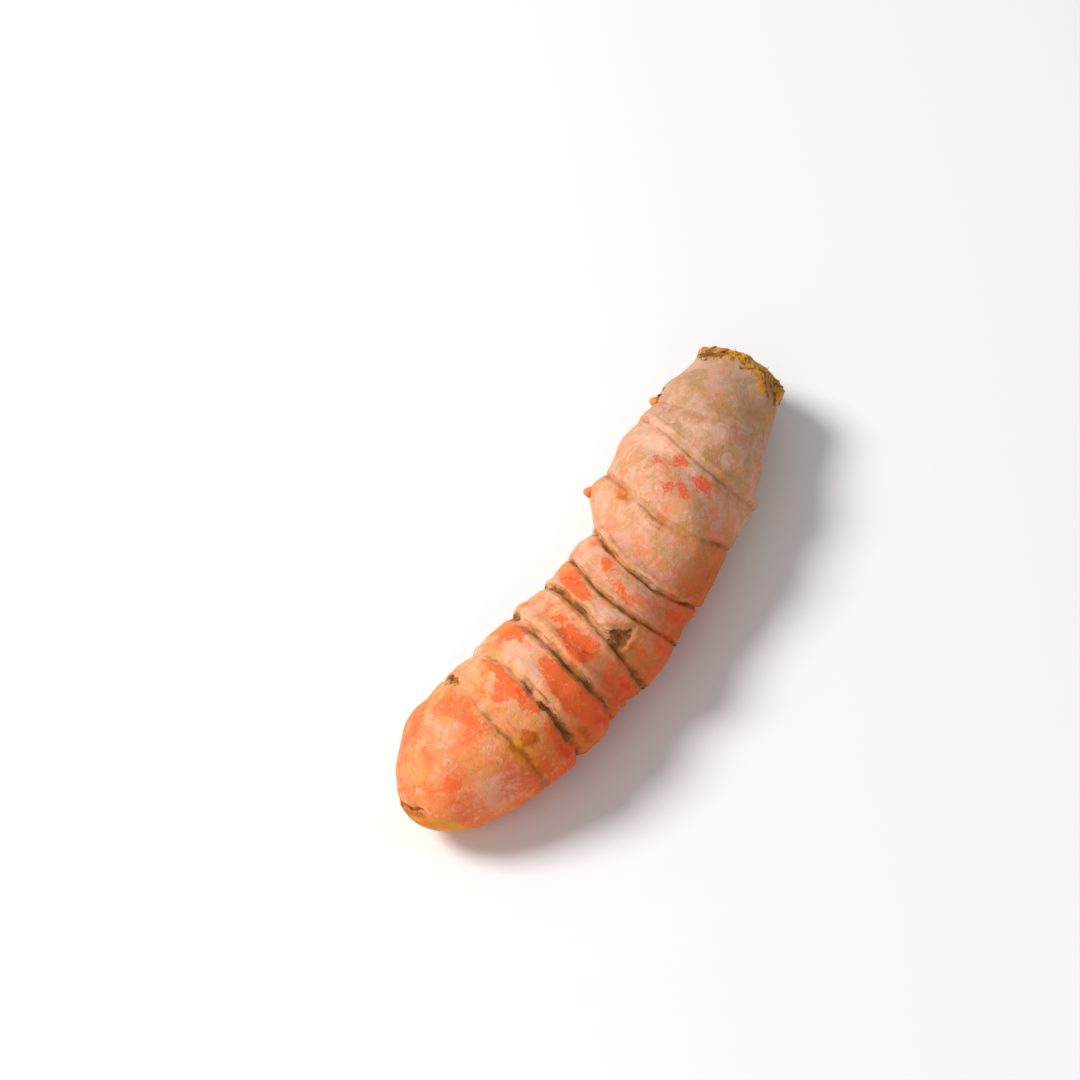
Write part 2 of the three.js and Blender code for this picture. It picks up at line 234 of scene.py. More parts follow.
CREAM_SKIN = [
    (0.9, [(7.70, 60), (7.54, 76), (7.62, 95), (7.88, 111), (7.94, 104), (7.94, 90), (7.88, 73)]),
    (0.8, [(9.36, 50), (9.34, 67), (9.37, 89), (9.45, 91), (9.46, 75), (9.43, 61)]),
    (0.9, [(9.54, 131), (9.31, 138), (9.15, 166), (9.27, 180), (9.56, 173), (9.61, 149)]),
    (0.7, [(9.58, 86), (9.50, 95), (9.54, 105), (9.65, 104), (9.66, 91)]),
    (0.7, [(9.16, 110), (9.10, 118), (9.18, 124), (9.25, 115)]),
    (0.7, [(5.75, 91), (5.33, 98), (5.27, 119), (5.88, 112), (5.90, 99)]),
    (0.7, [(3.97, 103), (3.83, 120), (3.88, 144), (4.20, 133), (4.27, 109)]),
    (0.9, [(2.23, 49), (2.07, 69), (2.12, 87), (2.31, 76), (2.40, 60)]),
    (0.7, [(3.19, 72), (3.05, 91), (3.05, 105), (3.21, 100), (3.36, 81)]),
    (0.7, [(1.38, 73), (1.12, 100), (1.24, 116), (1.73, 108), (1.65, 83)]),
    (0.7, [(8.30, 135), (8.12, 146), (8.12, 170), (8.30, 163), (8.38, 144)]),
    (0.7, [(7.48, 120), (7.35, 136), (7.25, 149), (7.34, 150), (7.53, 135)]),
]
# Deeper red-orange on the bare skin, partly the skin's own colour and partly painted shade on the
# root's shaded right and lower side
DEEP_AND_SHADED_SKIN = [
    (0.85, [(7.39, 150), (7.05, 170), (7.34, 192), (7.68, 168)]),
    (0.85, [(8.27, 146), (8.10, 174), (8.47, 192), (8.56, 152)]),
    (0.9, [(6.33, 153), (6.12, 175), (6.33, 195), (6.53, 165)]),
    (0.7, [(9.14, 129), (9.05, 146), (9.09, 152), (9.20, 139)]),
    (0.8, [(4.36, 146), (4.30, 168), (4.60, 174), (4.62, 154)]),
    (0.8, [(5.26, 148), (5.14, 170), (5.38, 182), (5.48, 158)]),
    (0.6, [(6.58, 109), (6.28, 125), (6.47, 130), (6.78, 117)]),
]
TAN_SKIN = [
    (0.8, [(8.82, 50), (8.66, 64), (8.72, 86), (8.93, 89), (8.95, 69)]),
    (0.85, [(8.83, 93), (8.56, 105), (8.41, 125), (8.57, 128), (8.78, 114), (8.92, 101)]),
    (0.85, [(9.41, 96), (9.30, 119), (9.34, 137), (9.52, 143), (9.58, 121), (9.52, 103)]),
    (0.9, [(6.02, 116), (5.80, 124), (5.70, 165), (5.96, 174), (6.00, 138)]),
    (0.8, [(7.85, 158), (7.68, 171), (7.76, 190), (7.98, 171)]),
    (0.45, [(9.37, 12), (9.34, 34), (9.56, 42), (9.70, 26)]),
    # Painted shade of the shallow fold just above ring 1, laid on as a tan patch
    (0.6, [(0.96, 84), (0.74, 96), (0.74, 124), (0.96, 118)]),
    (0.9, [(2.05, 114), (1.78, 133), (1.85, 166), (2.04, 143)]),
    (0.85, [(3.00, 95), (2.90, 119), (3.13, 133), (3.14, 112)]),
    (0.8, [(2.56, 12), (2.63, 42), (2.94, 65), (2.94, 52)]),
    (0.45, [(3.32, 122), (3.13, 151), (3.73, 180), (3.80, 140)]),
    (0.45, [(2.61, 146), (2.10, 168), (2.37, 190), (2.92, 159)]),
    (0.7, [(0.44, 140), (0.28, 165), (0.88, 173), (1.02, 150)]),
    (0.75, [(1.36, 99), (1.26, 106), (1.44, 111), (1.56, 104)]),
    (0.6, [(5.55, 146), (5.58, 172), (5.86, 176), (5.86, 150)]),
    (0.5, [(0.20, 60), (0.18, 110), (0.34, 112), (0.36, 62)]),
    (0.75, [(0.10, 112), (0.06, 150), (0.30, 176), (0.50, 168), (0.40, 140), (0.30, 116)]),
]
OCHRE_SKIN = [
    (0.95, [(9.08, 124), (8.88, 124), (8.84, 138), (8.92, 156), (9.06, 160), (9.10, 142)]),
    (0.7, [(9.01, 95), (8.93, 108), (8.95, 125), (9.05, 128), (9.06, 112)]),
    (0.9, [(7.70, 22), (7.16, 26), (7.10, 50), (7.40, 54), (7.62, 42)]),
    (0.9, [(5.62, 24), (5.08, 30), (5.06, 60), (5.40, 56), (5.62, 44)]),
    (0.9, [(2.26, 14), (1.99, 24), (2.02, 36), (2.20, 30)]),
    (1.0, [(0.10, 112), (0.08, 124), (0.26, 136), (0.40, 143), (0.42, 133), (0.28, 122)]),
    (1.0, [(0.02, 150), (0.00, 164), (0.22, 170), (0.38, 165), (0.32, 156)]),
    (0.8, [(1.30, 19), (1.06, 24), (1.14, 34), (1.36, 27)]),
    (0.7, [(7.86, 140), (7.66, 160), (7.70, 186), (7.96, 178)]),
]
BROWN_SKIN = [
    (0.9, [(0.30, 34), (0.06, 36), (0.01, 58), (0.10, 80), (0.20, 68), (0.30, 50)]),
    (0.7, [(0.17, 93), (0.04, 122), (0.10, 122), (0.23, 98)]),
    (0.8, [(0.02, 135), (0.02, 143), (0.09, 169), (0.18, 159)]),
    (0.9, [(0.08, 123), (0.06, 129), (0.26, 142), (0.40, 149), (0.40, 143), (0.26, 136)]),
    (0.9, [(0.02, 145), (0.00, 151), (0.20, 158), (0.42, 163), (0.40, 158), (0.20, 152)]),
    (0.6, [(0.24, 117), (0.27, 126), (0.33, 125), (0.30, 119)]),
    (0.9, [(8.12, 112), (8.00, 122), (7.99, 152), (8.08, 157), (8.15, 133), (8.20, 121)]),
    (0.75, [(8.88, 24), (8.82, 36), (8.86, 50), (8.94, 60), (9.04, 56), (9.07, 42), (9.03, 28)]),
]
RUST_SKIN = [
    (0.75, [(3.22, 49), (3.05, 58), (3.08, 66), (3.22, 63), (3.32, 53)]),
    (0.45, [(9.71, 36), (9.71, 56), (9.80, 65), (9.83, 46)]),
    (0.9, [(9.06, 126), (8.99, 131), (8.96, 150), (9.05, 149)]),
    (0.6, [(8.78, 128), (8.66, 130), (8.66, 138), (8.78, 137)]),
    (0.5, [(6.66, 84), (6.45, 92), (6.58, 103), (6.74, 94)]),
    (0.7, [(7.86, 150), (7.66, 160), (7.70, 184), (7.90, 178)]),
]

# Over how many millimetres each mark's edge is soft, and its outlines
OUTLINES = {
    "bare": (1.4, BARE_SKIN), "tan": (1.5, TAN_SKIN), "rose": (1.6, ROSE_SKIN),
    "cream": (1.8, CREAM_SKIN), "deep": (1.8, DEEP_AND_SHADED_SKIN), "ochre": (0.9, OCHRE_SKIN),
    "brown": (0.8, BROWN_SKIN), "rust": (0.9, RUST_SKIN),
}

# How the grain breaks up each mark: how much, where the mark starts and is full, and its strength
RAGGED_MARKS = {
    "bare": (1.9, 0.36, 0.56, 1.0), "deep": (1.2, 0.35, 0.90, 0.9),
    "cream": (1.5, 0.25, 0.70, 0.8), "rose": (2.6, 0.24, 0.62, 0.95),
    "tan": (2.2, 0.22, 0.66, 0.9), "ochre": (2.0, 0.35, 0.70, 0.9),
    "rust": (1.7, 0.20, 0.75, 0.9), "brown": (2.2, 0.36, 0.66, 0.94),
    "crown": (1.6, 0.35, 0.65, 1.0), "crease": (1.2, 0.15, 0.75, 0.95),
    "edging": (1.6, 0.10, 0.85, 0.92),
}

# How far threads and clouds of bloom are drawn out along the root
THREAD_STRETCH = 0.33
CLOUD_STRETCH = 0.7

# ---- Colours, linear

ORANGE = (0.99, 0.160, 0.040, 1)
DEEP_ORANGE = (0.80, 0.060, 0.008, 1)
SOFT_ORANGE = (0.97, 0.24, 0.075, 1)
CREAM_BLOOM = (0.92, 0.50, 0.34, 1)
OCHRE_BLOOM = (0.86, 0.40, 0.115, 1)
SALMON_BLOOM = (0.95, 0.245, 0.105, 1)
PALE_SALMON = (0.95, 0.42, 0.23, 1)
KHAKI = (0.59, 0.285, 0.090, 1)
KHAKI_BROWN = (0.41, 0.152, 0.030, 1)
ROSE = (0.66, 0.205, 0.125, 1)
YOUNG_ROSE = (0.80, 0.185, 0.085, 1)
ROSE_RED = (0.82, 0.125, 0.060, 1)
OCHRE = (0.84, 0.345, 0.018, 1)
RING_TAN = (0.40, 0.140, 0.026, 1)
OCHRE_TAN = (0.86, 0.350, 0.105, 1)
AMBER = (0.84, 0.225, 0.030, 1)
RING_BROWN = (0.20, 0.068, 0.011, 1)
DARK_BROWN = (0.075, 0.030, 0.010, 1)
# Painted shade on the root's lower side, partly the skin's own deeper orange there: the first tint
# multiplies the bloom, the second the whole colour
UNDERSIDE_AND_SHADE_TINT = (0.90, 0.46, 0.22, 1)
SHADE_TINT = (0.93, 0.66, 0.42, 1)
OLIVE_TAN = (0.56, 0.320, 0.070, 1)
BUD_AMBER = (0.82, 0.27, 0.045, 1)
FIBRE = (0.85, 0.33, 0.03, 1)
RUST = (0.54, 0.132, 0.010, 1)
HUSK_BROWN = (0.38, 0.158, 0.044, 1)
HUSK_TAN = (0.60, 0.30, 0.110, 1)
EDGE_TAN = (0.56, 0.250, 0.075, 1)
FLOOR_WHITE = (0.92, 0.92, 0.92, 1)

# The bloom over the skin, from the old crown to the young tip, where it is thick and where it is
# weathered: how far along, colour
PINK_ALONG = [
    (0.00, (0.60, 0.355, 0.240, 1)), (0.10, (0.66, 0.385, 0.280, 1)), (0.22, (0.74, 0.42, 0.30, 1)),
    (0.34, (0.80, 0.40, 0.265, 1)), (0.45, (0.88, 0.38, 0.25, 1)), (0.55, (0.87, 0.44, 0.30, 1)),
    (0.65, (0.90, 0.38, 0.23, 1)), (0.75, (0.94, 0.46, 0.31, 1)), (0.85, (0.93, 0.38, 0.21, 1)),
    (0.94, (0.95, 0.29, 0.125, 1)),
]
WEATHERED_ALONG = [
    (0.00, (0.49, 0.285, 0.140, 1)), (0.10, (0.51, 0.285, 0.145, 1)),
    (0.22, (0.57, 0.31, 0.145, 1)), (0.34, (0.64, 0.32, 0.14, 1)), (0.45, (0.72, 0.33, 0.155, 1)),
    (0.65, (0.76, 0.33, 0.135, 1)), (0.75, (0.82, 0.38, 0.18, 1)), (0.85, (0.84, 0.38, 0.14, 1)),
    (0.94, (0.88, 0.27, 0.080, 1)),
]

# ---- The camera, the light and the floor

CAMERA_PLACE = (-201.70, -109.255, 347.67)
CAMERA_TURN, CAMERA_DROP = 30.828, 55   # degrees from +X, and down
CAMERA_LENS, CAMERA_SENSOR = 85, 36

# Name, place in metres, size, power. The key light comes from the upper left of the picture, with
# the lower right in soft shade
LIGHTS = [("key", (-0.32, 0.70, 0.86), 0.42, 12.0), ("fill", (-0.75, -0.10, 0.7), 0.8, 1.4)]
SKY_STRENGTH = 0.34
FLOOR_SIZE = 6.0
CLEARANCE = 0.00002   # metres between the floor and the lowest points


# ---- Small helpers for numbers

def bell(value):
    """1 at zero, falling smoothly to 0 on both sides."""
    return np.exp(-value * value)


def rise(low, high, value):
    """0 up to low and 1 from high, or the other way round where low is the larger."""
    t = np.clip((value - low) / (high - low), 0, 1)
    return t * t * (3 - 2 * t)


def lattice(ix, iy, iz, seed):
    """A value between -1 and 1 for each whole-numbered place, always the same for a seed."""
    h = (ix * 374761393 + iy * 668265263 + iz * 1440662683 + seed * 974634777) & 0xFFFFFFFF
    h = ((h ^ (h >> 13)) * 1274126177) & 0xFFFFFFFF
    return ((h ^ (h >> 16)) & 0xFFFF) / 32767.5 - 1


def lumps(points, size, seed):
    """Smooth bumps between -1 and 1, about one to each size in millimetres."""
    q = points / size
    cell = np.floor(q).astype(np.int64)
    f = q - cell
    u = f * f * (3 - 2 * f)
    total = 0
    for dx in (0, 1):
        for dy in (0, 1):
            for dz in (0, 1):
                weight = ((u[..., 0] if dx else 1 - u[..., 0])
                          * (u[..., 1] if dy else 1 - u[..., 1])
                          * (u[..., 2] if dz else 1 - u[..., 2]))
                total = total + weight * lattice(
                    cell[..., 0] + dx, cell[..., 1] + dy, cell[..., 2] + dz, seed)
    return total


def circle(phi, size, seed):
    """Lumps that close on themselves round the root."""
    around = np.stack([np.cos(phi), np.sin(phi), np.zeros_like(phi)], -1) * 11
    return lumps(around, size, seed)


def turn_from(phi, angle):
    """How many degrees phi, in radians, is past an angle, from -180 to 180."""
    return (np.degrees(phi) - angle + 180) % 360 - 180


# ---- The form

def along(column, x):
    """A column of the stations' table at any place, on a smooth curve through its values."""
    xs, values = STATIONS[:, 0], STATIONS[:, column]
    slope = np.empty_like(values)
    slope[1:-1] = (values[2:] - values[:-2]) / (xs[2:] - xs[:-2])
    slope[0] = (values[1] - values[0]) / (xs[1] - xs[0])
    slope[-1] = (values[-1] - values[-2]) / (xs[-1] - xs[-2])
    k = np.clip(np.searchsorted(xs, x) - 1, 0, len(xs) - 2)
    h = xs[k + 1] - xs[k]
    t = np.clip((x - xs[k]) / h, 0, 1)
    return ((2 * t**3 - 3 * t**2 + 1) * values[k] + (t**3 - 2 * t**2 + t) * h * slope[k]
            + (3 * t**2 - 2 * t**3) * values[k + 1] + (t**3 - t**2) * h * slope[k + 1])


def radius_at(x):
    t = np.clip((x - TIP_X) / (DOME_X - TIP_X), 0, 1)
    dome = DOME_RADIUS * (1 - (1 - t) ** DOME_TAPER) ** DOME_BLUNTNESS
    return np.where(x < DOME_X, dome, along(3, x))


def course(number, phi):
    """Where ring number runs, at each angle."""
    if number >= len(RINGS):
        return np.full_like(phi, TIP_X)
    place, side, top, wave, twist = RINGS[number, :5]
    run = (place + side * np.cos(phi) + top * np.sin(phi)
           + wave * np.cos(2 * phi) + twist * np.sin(2 * phi))
    if number:
        run = run + 0.16 * circle(phi, 2.2, 40 + number) + 0.07 * circle(phi, 0.9, 60 + number)
    return run


def ring_strength(number, phi):
    """Ring 8 is only deep on the right, where the band above has split away from it."""
    return 0.45 + 0.65 * rise(88, 122, np.degrees(phi) % 360) if number == 8 else np.ones_like(phi)


def ring_relief(x, phi):
    out = np.zeros_like(x)
    for number in range(1, len(RINGS)):
        depth, width, lip = RINGS[number, 5:]
        s = x - course(number, phi)
        depth = depth * (1 + 0.45 * circle(phi, 1.7, 80 + number))
        lip = lip * (1 + 0.6 * circle(phi, 2.6, 100 + number))
        out -= depth * bell(s / width)
        out += lip_profile(s, width, lip)
    return out


def lip_profile(s, width, lip):
    """The raised lip on the crown's side of a ring, and the long dip on its other side."""
    return np.where(s > 0, lip * bell((s - 1.8 * width) / (1.5 * width)),
                    -0.6 * lip * np.exp(np.minimum(s, 0) / 1.8))


def coarse_relief(x, phi):
    out = ring_relief(x, phi)
    for place, angle, reach, length, spread in SWELLINGS:
        out += reach * bell((x - place) / length) * bell(turn_from(phi, angle) / spread)
    for height, turns, waves, phase in UNEVENNESS:
        out += height * np.sin(turns * x + waves * phi + phase)
    back = course(0, phi) - x
    lip = RIM_LIP + sum(height * np.sin(waves * phi + phase) for height, waves, phase in RIM_KNOBS)
    out += lip * bell(back / RIM_WIDTH) - RIM_ROUND * bell(back / RIM_TURN)
    for from_rim, angle, reach, length, spread in TEARS:
        out += reach * bell((back - from_rim) / length) * bell(turn_from(phi, angle) / spread)
    return out * np.clip((x - TIP_X) / 6, 0, 1)


def middle_line(x):
    """The points of the root's bent middle line at places along it."""
    return np.stack([x, along(1, x), along(2, x)], -1)


def skin_point(x, phi, extra=0.0):
    """The point on the skin at a place and angle, raised by extra millimetres."""
    s = np.sin(phi)
    squash = 1 + (np.where(s > 0, TOP_HEIGHT, BASE_HEIGHT) - 1) * s * s
    r = radius_at(x) * squash + coarse_relief(x, phi) + extra
    return np.stack([x, along(1, x) + r * np.cos(phi), along(2, x) + r * np.sin(phi)], -1)


def to_part(points):
    """From the working place to the part's own frame, still in millimetres."""
    return points - MIDDLE_OF_BOX


def standing(place, angle):
    """A frame on the skin: the point, towards the crown, across, and outwards."""
    phi = np.array(math.radians(angle))
    x = np.array(float(place))
    point = skin_point(x, phi)
    ahead = skin_point(x + 0.5, phi) - skin_point(x - 0.5, phi)
    round_it = skin_point(x, phi + 0.05) - skin_point(x, phi - 0.05)
    ahead = ahead / np.linalg.norm(ahead)
    out = np.cross(round_it, ahead)
    out = out / np.linalg.norm(out)
    return point, ahead, np.cross(out, ahead), out


# ---- The fine skin

def band_numbers():
    """The band number of each row from the crown's rim to just before the tip."""
    numbers = []
    for number in range(LAST_RING):
        count = BAND_ROWS if number else FIRST_BAND_ROWS
        t = np.arange(count) / count
        numbers += list(number + 0.45 * t + 0.55 * (0.5 - 0.5 * np.cos(np.pi * t)))
    dome = np.sin(np.arange(DOME_ROWS) / DOME_ROWS * np.pi / 2)
    return np.array(numbers + list(LAST_RING + dome))


def place_of(number, phi):
    """The place along the root of a band number, at each angle."""
    whole = min(int(number), LAST_RING)
    start, end = course(whole, phi), course(whole + 1, phi)
    return start + (end - start) * (number - whole)


def outline_mask(band, phi, outlines, soften):
    """0.5 on each outline, 1 inside it and 0 outside, over soften millimetres each way."""
    out = np.zeros_like(band)
    for strength, corners in outlines:
        middle = sum(c[1] for c in corners) / len(corners)
        px, py = band * BAND_LENGTH, turn_from(phi, middle) * DEGREE_LENGTH
        corners = [(b * BAND_LENGTH, (a - middle) * DEGREE_LENGTH) for b, a in corners]
        xs, ys = zip(*corners)
        near = ((px > min(xs) - MARK_REACH) & (px < max(xs) + MARK_REACH)
                & (py > min(ys) - MARK_REACH) & (py < max(ys) + MARK_REACH))
        px, py = px[near], py[near]
        away = np.full_like(px, FAR_AWAY)
        inside = np.zeros(px.shape, bool)
        for (ax, ay), (bx, by) in zip(corners, corners[1:] + corners[:1]):
            ex, ey = bx - ax, by - ay
            t = np.clip(((px - ax) * ex + (py - ay) * ey) / (ex * ex + ey * ey), 0, 1)
            away = np.minimum(away, np.hypot(px - ax - ex * t, py - ay - ey * t))
            crosses = (ay > py) != (by > py)
            height = np.where(ey == 0, 1, ey)
            inside ^= crosses & (px < ax + (py - ay) / height * ex)
        value = np.clip(0.5 + np.where(inside, away, -away) / (2 * soften), 0, 1) * strength
        out[near] = np.maximum(out[near], value)
    return out


def distance(x, phi, place, angle, radius=SKIN_RADIUS):
    """How far points are from a place and angle, over the skin and in millimetres."""
    return np.hypot(x - place, np.radians(turn_from(phi, angle)) * radius)


def eye_distance(x, phi, points, place, angle):
    """The distance from an eye, made a little uneven."""
    return distance(x, phi, place, angle) + 0.2 * lumps(points, 1.2, 16)


def scar_inside(x, phi):
    """How far inside the three-cornered scar a point lies, in millimetres; negative outside."""
    du = x - SCAR_X
    dv = -np.radians(turn_from(phi, SCAR_ANGLE)) * SCAR_ROUND
    edge = np.full_like(x, FAR_AWAY)
    for k in range(3):
        a = math.radians(SCAR_TURN - 90 + 120 * k + 60)
        edge = np.minimum(edge, 0.5 * SCAR_RADIUS - (du * math.cos(a) + dv * math.sin(a)))
    base = np.stack([du, dv, np.zeros_like(x)], -1)
    return edge + 0.45 * lumps(base, 1.5, 17) + 0.2 * lumps(base, 0.7, 18)


def tip_scar(points):
    """How far past the edge of the tip's yellow scar a point lies, and how near its left end."""
    x, y, z = points[..., 0], points[..., 1], points[..., 2]
    a, b, c, d = TIP_SCAR_PLANE
    side = (a * x + b * y + c * z + d
            + 0.45 * lumps(points, 1.6, 28) + 0.2 * lumps(points, 0.7, 29))
    side = side - 3.0 * rise(-3.0, -6.5, y)
    return np.where(x < TIP_SCAR_X, side, -FAR_AWAY), rise(-1.0, 2.0, y) * rise(7.5, 5.0, y)


def fine_relief(band, x, phi, base):
    """Everything on the skin that the solid is too coarse to carry, in millimetres."""
    barrel = np.sin(np.pi * (band - np.floor(band))) ** 0.7
    out = np.where((band < 1) | (band > LAST_RING), 0.0, 0.22 * barrel - 0.08)
    for height, size, seed in ((0.14, 3.1, 1), (0.055, 1.5, 2), (0.03, 0.75, 3)):
        out = out + height * lumps(base, size, seed)
    for number in range(1, len(RINGS)):
        s = x - course(number, phi)
        depth, width, lip = RINGS[number, 5:]
        worn, floor = RING_WORN[number - 1], RING_FLOOR[number - 1]
        out += worn * depth * bell(s / width)
        out -= worn * lip_profile(s, width, lip)
        sharp = RING_SHARP[number - 1] * ring_strength(number, phi)
        sharp = sharp * (1 + 0.5 * circle(phi, 1.3, 180 + number)
                         + 0.3 * circle(phi, 4.0, 190 + number))
        out -= (0.10 + 0.5 * depth) * sharp * bell((s + 0.5 * floor) / floor)
        out += 0.12 * sharp * bell((s - 0.55) / 0.35)
        out += 0.07 * sharp * bell((s + 1.6 * floor + 0.25) / 0.35)
        near = np.where(s > 0, bell((s - 1.2) / 1.6), 0.6 * np.exp(np.minimum(s, 0) / 1.4))
        out += 0.03 * near * np.sin(s * 6.3 + 2.5 * circle(phi, 2.0, 120 + number))
        chips = np.clip(circle(phi, 1.1, 140 + number) - 0.35, 0, 1)
        out -= 0.35 * chips * bell((s - 0.6) / 0.5) * lip / 0.4
    stretched = base * np.array([0.28, 1, 1])
    out += 0.03 * lumps(stretched, 0.8, 5)
    inside = scar_inside(x, phi)
    out -= SCAR_DEPTH * rise(-0.5, 0.7, inside) * (1 + 0.5 * lumps(stretched, 0.6, 6))
    out += 0.04 * bell((inside + 0.8) / 0.4)
    for place, angle, radius, height in EYES:
        away = eye_distance(x, phi, base, place, angle)
        out += height * 0.35 * (1 - rise(radius * 0.5, radius * 1.5, away))
        out -= 0.10 * bell((away - radius * 0.8) / 0.35)
    out -= PIT_DEPTH * bell(distance(x, phi, *PIT_PLACE) / PIT_SIZE)
    crown = bell((course(0, phi) - x) / 2.8)
    out += crown * (0.42 * lumps(base, 1.9, 7) + 0.26 * lumps(base, 0.9, 8))
    side, left = tip_scar(base)
    out += 0.22 * bell((side - 0.35) / 0.55) - 0.65 * left * bell((side + 0.5) / 0.45)
    out += 0.16 * rise(0, 0.8, side) * lumps(base, 1.0, 9)
    return out * np.clip((x - TIP_X) / 1.5, 0, 1)


def crown_face(phi):
    """The rows of the broken face, from its middle out to the rim."""
    rim = skin_point(course(0, phi), phi)
    middle = middle_line(np.array(CROWN_X))
    rows = []
    for k in range(CROWN_ROWS):
        q = k / CROWN_ROWS
        points = middle + (rim - middle) * q
        torn = (0.5 * lumps(points, 2.4, 11) + 0.3 * lumps(points, 1.1, 12)
                + 0.15 * lumps(points, 0.5, 13))
        points[:, 0] += CROWN_SWELL * (1 - q**2.5) + torn * (1 - q**6)
        points[:, 0] += 1.1 * q * (1 - q) * np.sin(3 * phi + 0.5)
        rows.append(points)
    return np.array(rows)


def skin_net():
    """The net's points row by row, with each one's band number and angle, and the tip's point."""
    phi = np.arange(COLUMNS) / COLUMNS * 2 * np.pi
    numbers = band_numbers()
    x = np.array([place_of(n, phi) for n in numbers])
    angle = np.broadcast_to(phi, x.shape)
    band = np.broadcast_to(numbers[:, None], x.shape)
    base = skin_point(x, angle)
    points = skin_point(x, angle, fine_relief(band, x, angle, base))
    points[:, :, 2] = np.maximum(points[:, :, 2], 0)
    tip = skin_point(np.array(TIP_X), np.array(0.0))
    face_band = np.arange(CROWN_ROWS) / CROWN_ROWS - 1
    band = np.concatenate([np.broadcast_to(face_band[:, None], (CROWN_ROWS, COLUMNS)), band])
    return np.concatenate([crown_face(phi), points]), band, np.broadcast_to(phi, band.shape), tip


def skin_marks(points, band, phi):
    """The masks that the skin's material paints from, one value for each point of the net."""
    marks = {name: outline_mask(band, phi, outlines, soften)
             for name, (soften, outlines) in OUTLINES.items()}

    def strengthen(name, values):
        marks[name] = np.maximum(marks[name], values)

    x = points[..., 0]
    thin = 0.30 * rise(3.6, 5.0, band) + 0.13 * rise(8.6, 9.3, band)
    strengthen("bare", thin)
    marks["bare"] = marks["bare"] * (1 - (0.3 + 0.5 * rise(8.5, 9.0, band)) * marks["cream"])

    side, left = tip_scar(points)
    scar = rise(-0.2, 0.5, side) * rise(7.0, 4.0, side)
    strengthen("ochre", scar)
    strengthen("brown", 0.9 * left * bell((side + 0.5) / 0.6))
    strengthen("rust", 0.9 * left * scar * rise(2.6, 0.6, side))

    # Underneath and at the back, where no outlines are listed
    hidden = bell(turn_from(phi, HIDDEN_ANGLE) / 88) ** 2 * rise(3.8, 4.6, band)
    patches = 0.5 + 0.9 * lumps(points, 5.2, 23) + 0.35 * lumps(points, 2.0, 24)
    strengthen("bare", np.clip(patches, 0, 1) * rise(0.1, 0.5, hidden))
    worn = 0.7 * rise(0.1, 0.6, lumps(points, 4.4, 26))
    strengthen("tan", worn * bell(turn_from(phi, HIDDEN_ANGLE) / 70))

    marks["crease"] = np.zeros_like(x)
    marks["edging"] = np.zeros_like(x)
    for number in range(1, len(RINGS)):
        s = x - course(number, phi)
        floor = RING_FLOOR[number - 1]
        patchy = 0.9 + 0.6 * circle(phi, 4.5, 160 + number) + 0.5 * circle(phi, 1.5, 170 + number)
        patchy = np.clip(patchy, 0.3, 1.3)
        dark = RING_DARK[number - 1] * ring_strength(number, phi)
        strengthen("crease", dark * patchy * bell((s + 0.5 * floor) / (1.1 * floor)))
        rims = 0.6 * bell((s - 0.35) / 0.32) + 0.7 * bell((s + 1.6 * floor + 0.2) / 0.34)
        strengthen("edging", rims * (0.30 + 0.7 * dark) * patchy)
        bare_edge = rise(0.15, 0.5, np.abs(s + 0.3 * floor) - floor * 0.8)
        marks["bare"] = marks["bare"] * (0.3 + 0.7 * bare_edge)

    inside = scar_inside(x, phi)
    strengthen("brown", 0.92 * rise(-0.6, 0.5, inside))
    strengthen("edging", 0.65 * bell((inside + 0.6) / 0.5))
    strengthen("tan", 0.6 * bell((inside + 0.9) / 0.7) * rise(0.6, -0.6, x - SCAR_X))
    for place, angle, radius, _ in EYES:
        away = eye_distance(x, phi, points, place, angle)
        strengthen("ochre", 0.5 * (1 - rise(radius * 0.9, radius * 1.9, away)))
        strengthen("rust", 0.8 * (1 - rise(radius * 0.4, radius * 1.5, away)))

    # Painted shade on the lower side, partly the skin's own deeper colour: from about 112 to 168
    # degrees round, and more from band 3 on, the material darkens the colour and makes it more
    # orange
    low_side = rise(112, 168, (np.degrees(phi) + 60) % 360 - 60)
    marks["under"] = (low_side * (0.15 + 0.85 * rise(2.3, 3.6, band))
                      * (1 - 0.7 * rise(9.05, 9.30, band)))
    marks["crease"] = np.clip(marks["crease"], 0, 1)
    marks["edging"] = np.clip(marks["edging"], 0, 1)
    reach = (0.19 + 0.05 * bell(turn_from(phi, 62) / 16) + 0.04 * np.sin(phi * 3)
             + 0.06 * circle(phi, 3.0, 27))
    reach = reach - 0.09 * bell(turn_from(phi, 145) / 34)
    marks["crown"] = np.where(band < 0, 1.0, np.clip(0.5 + (reach - band) * 16 / 2.6, 0, 1))
    marks["place"] = np.clip(band, 0, 10) / 10
    return marks


def link(data):
    """An object for a mesh, light or camera, under the same name."""
    thing = bpy.data.objects.new(data.name, data)
    bpy.context.scene.collection.objects.link(thing)
    return thing


def new_piece(name, places, edges=(), faces=(), marks=None):
    """A mesh as an object. Each mark gives every point a number or a direction."""
    mesh = bpy.data.meshes.new(name)
    mesh.from_pydata(np.array(places, float).tolist(), edges, faces)
    for label, values in (marks or {}).items():
        values = np.array(values, np.float32)
        kind, field = ("FLOAT", "value") if values.ndim == 1 else ("FLOAT_VECTOR", "vector")
        mesh.attributes.new(label, kind, "POINT").data.foreach_set(field, values.ravel())
    return link(mesh)


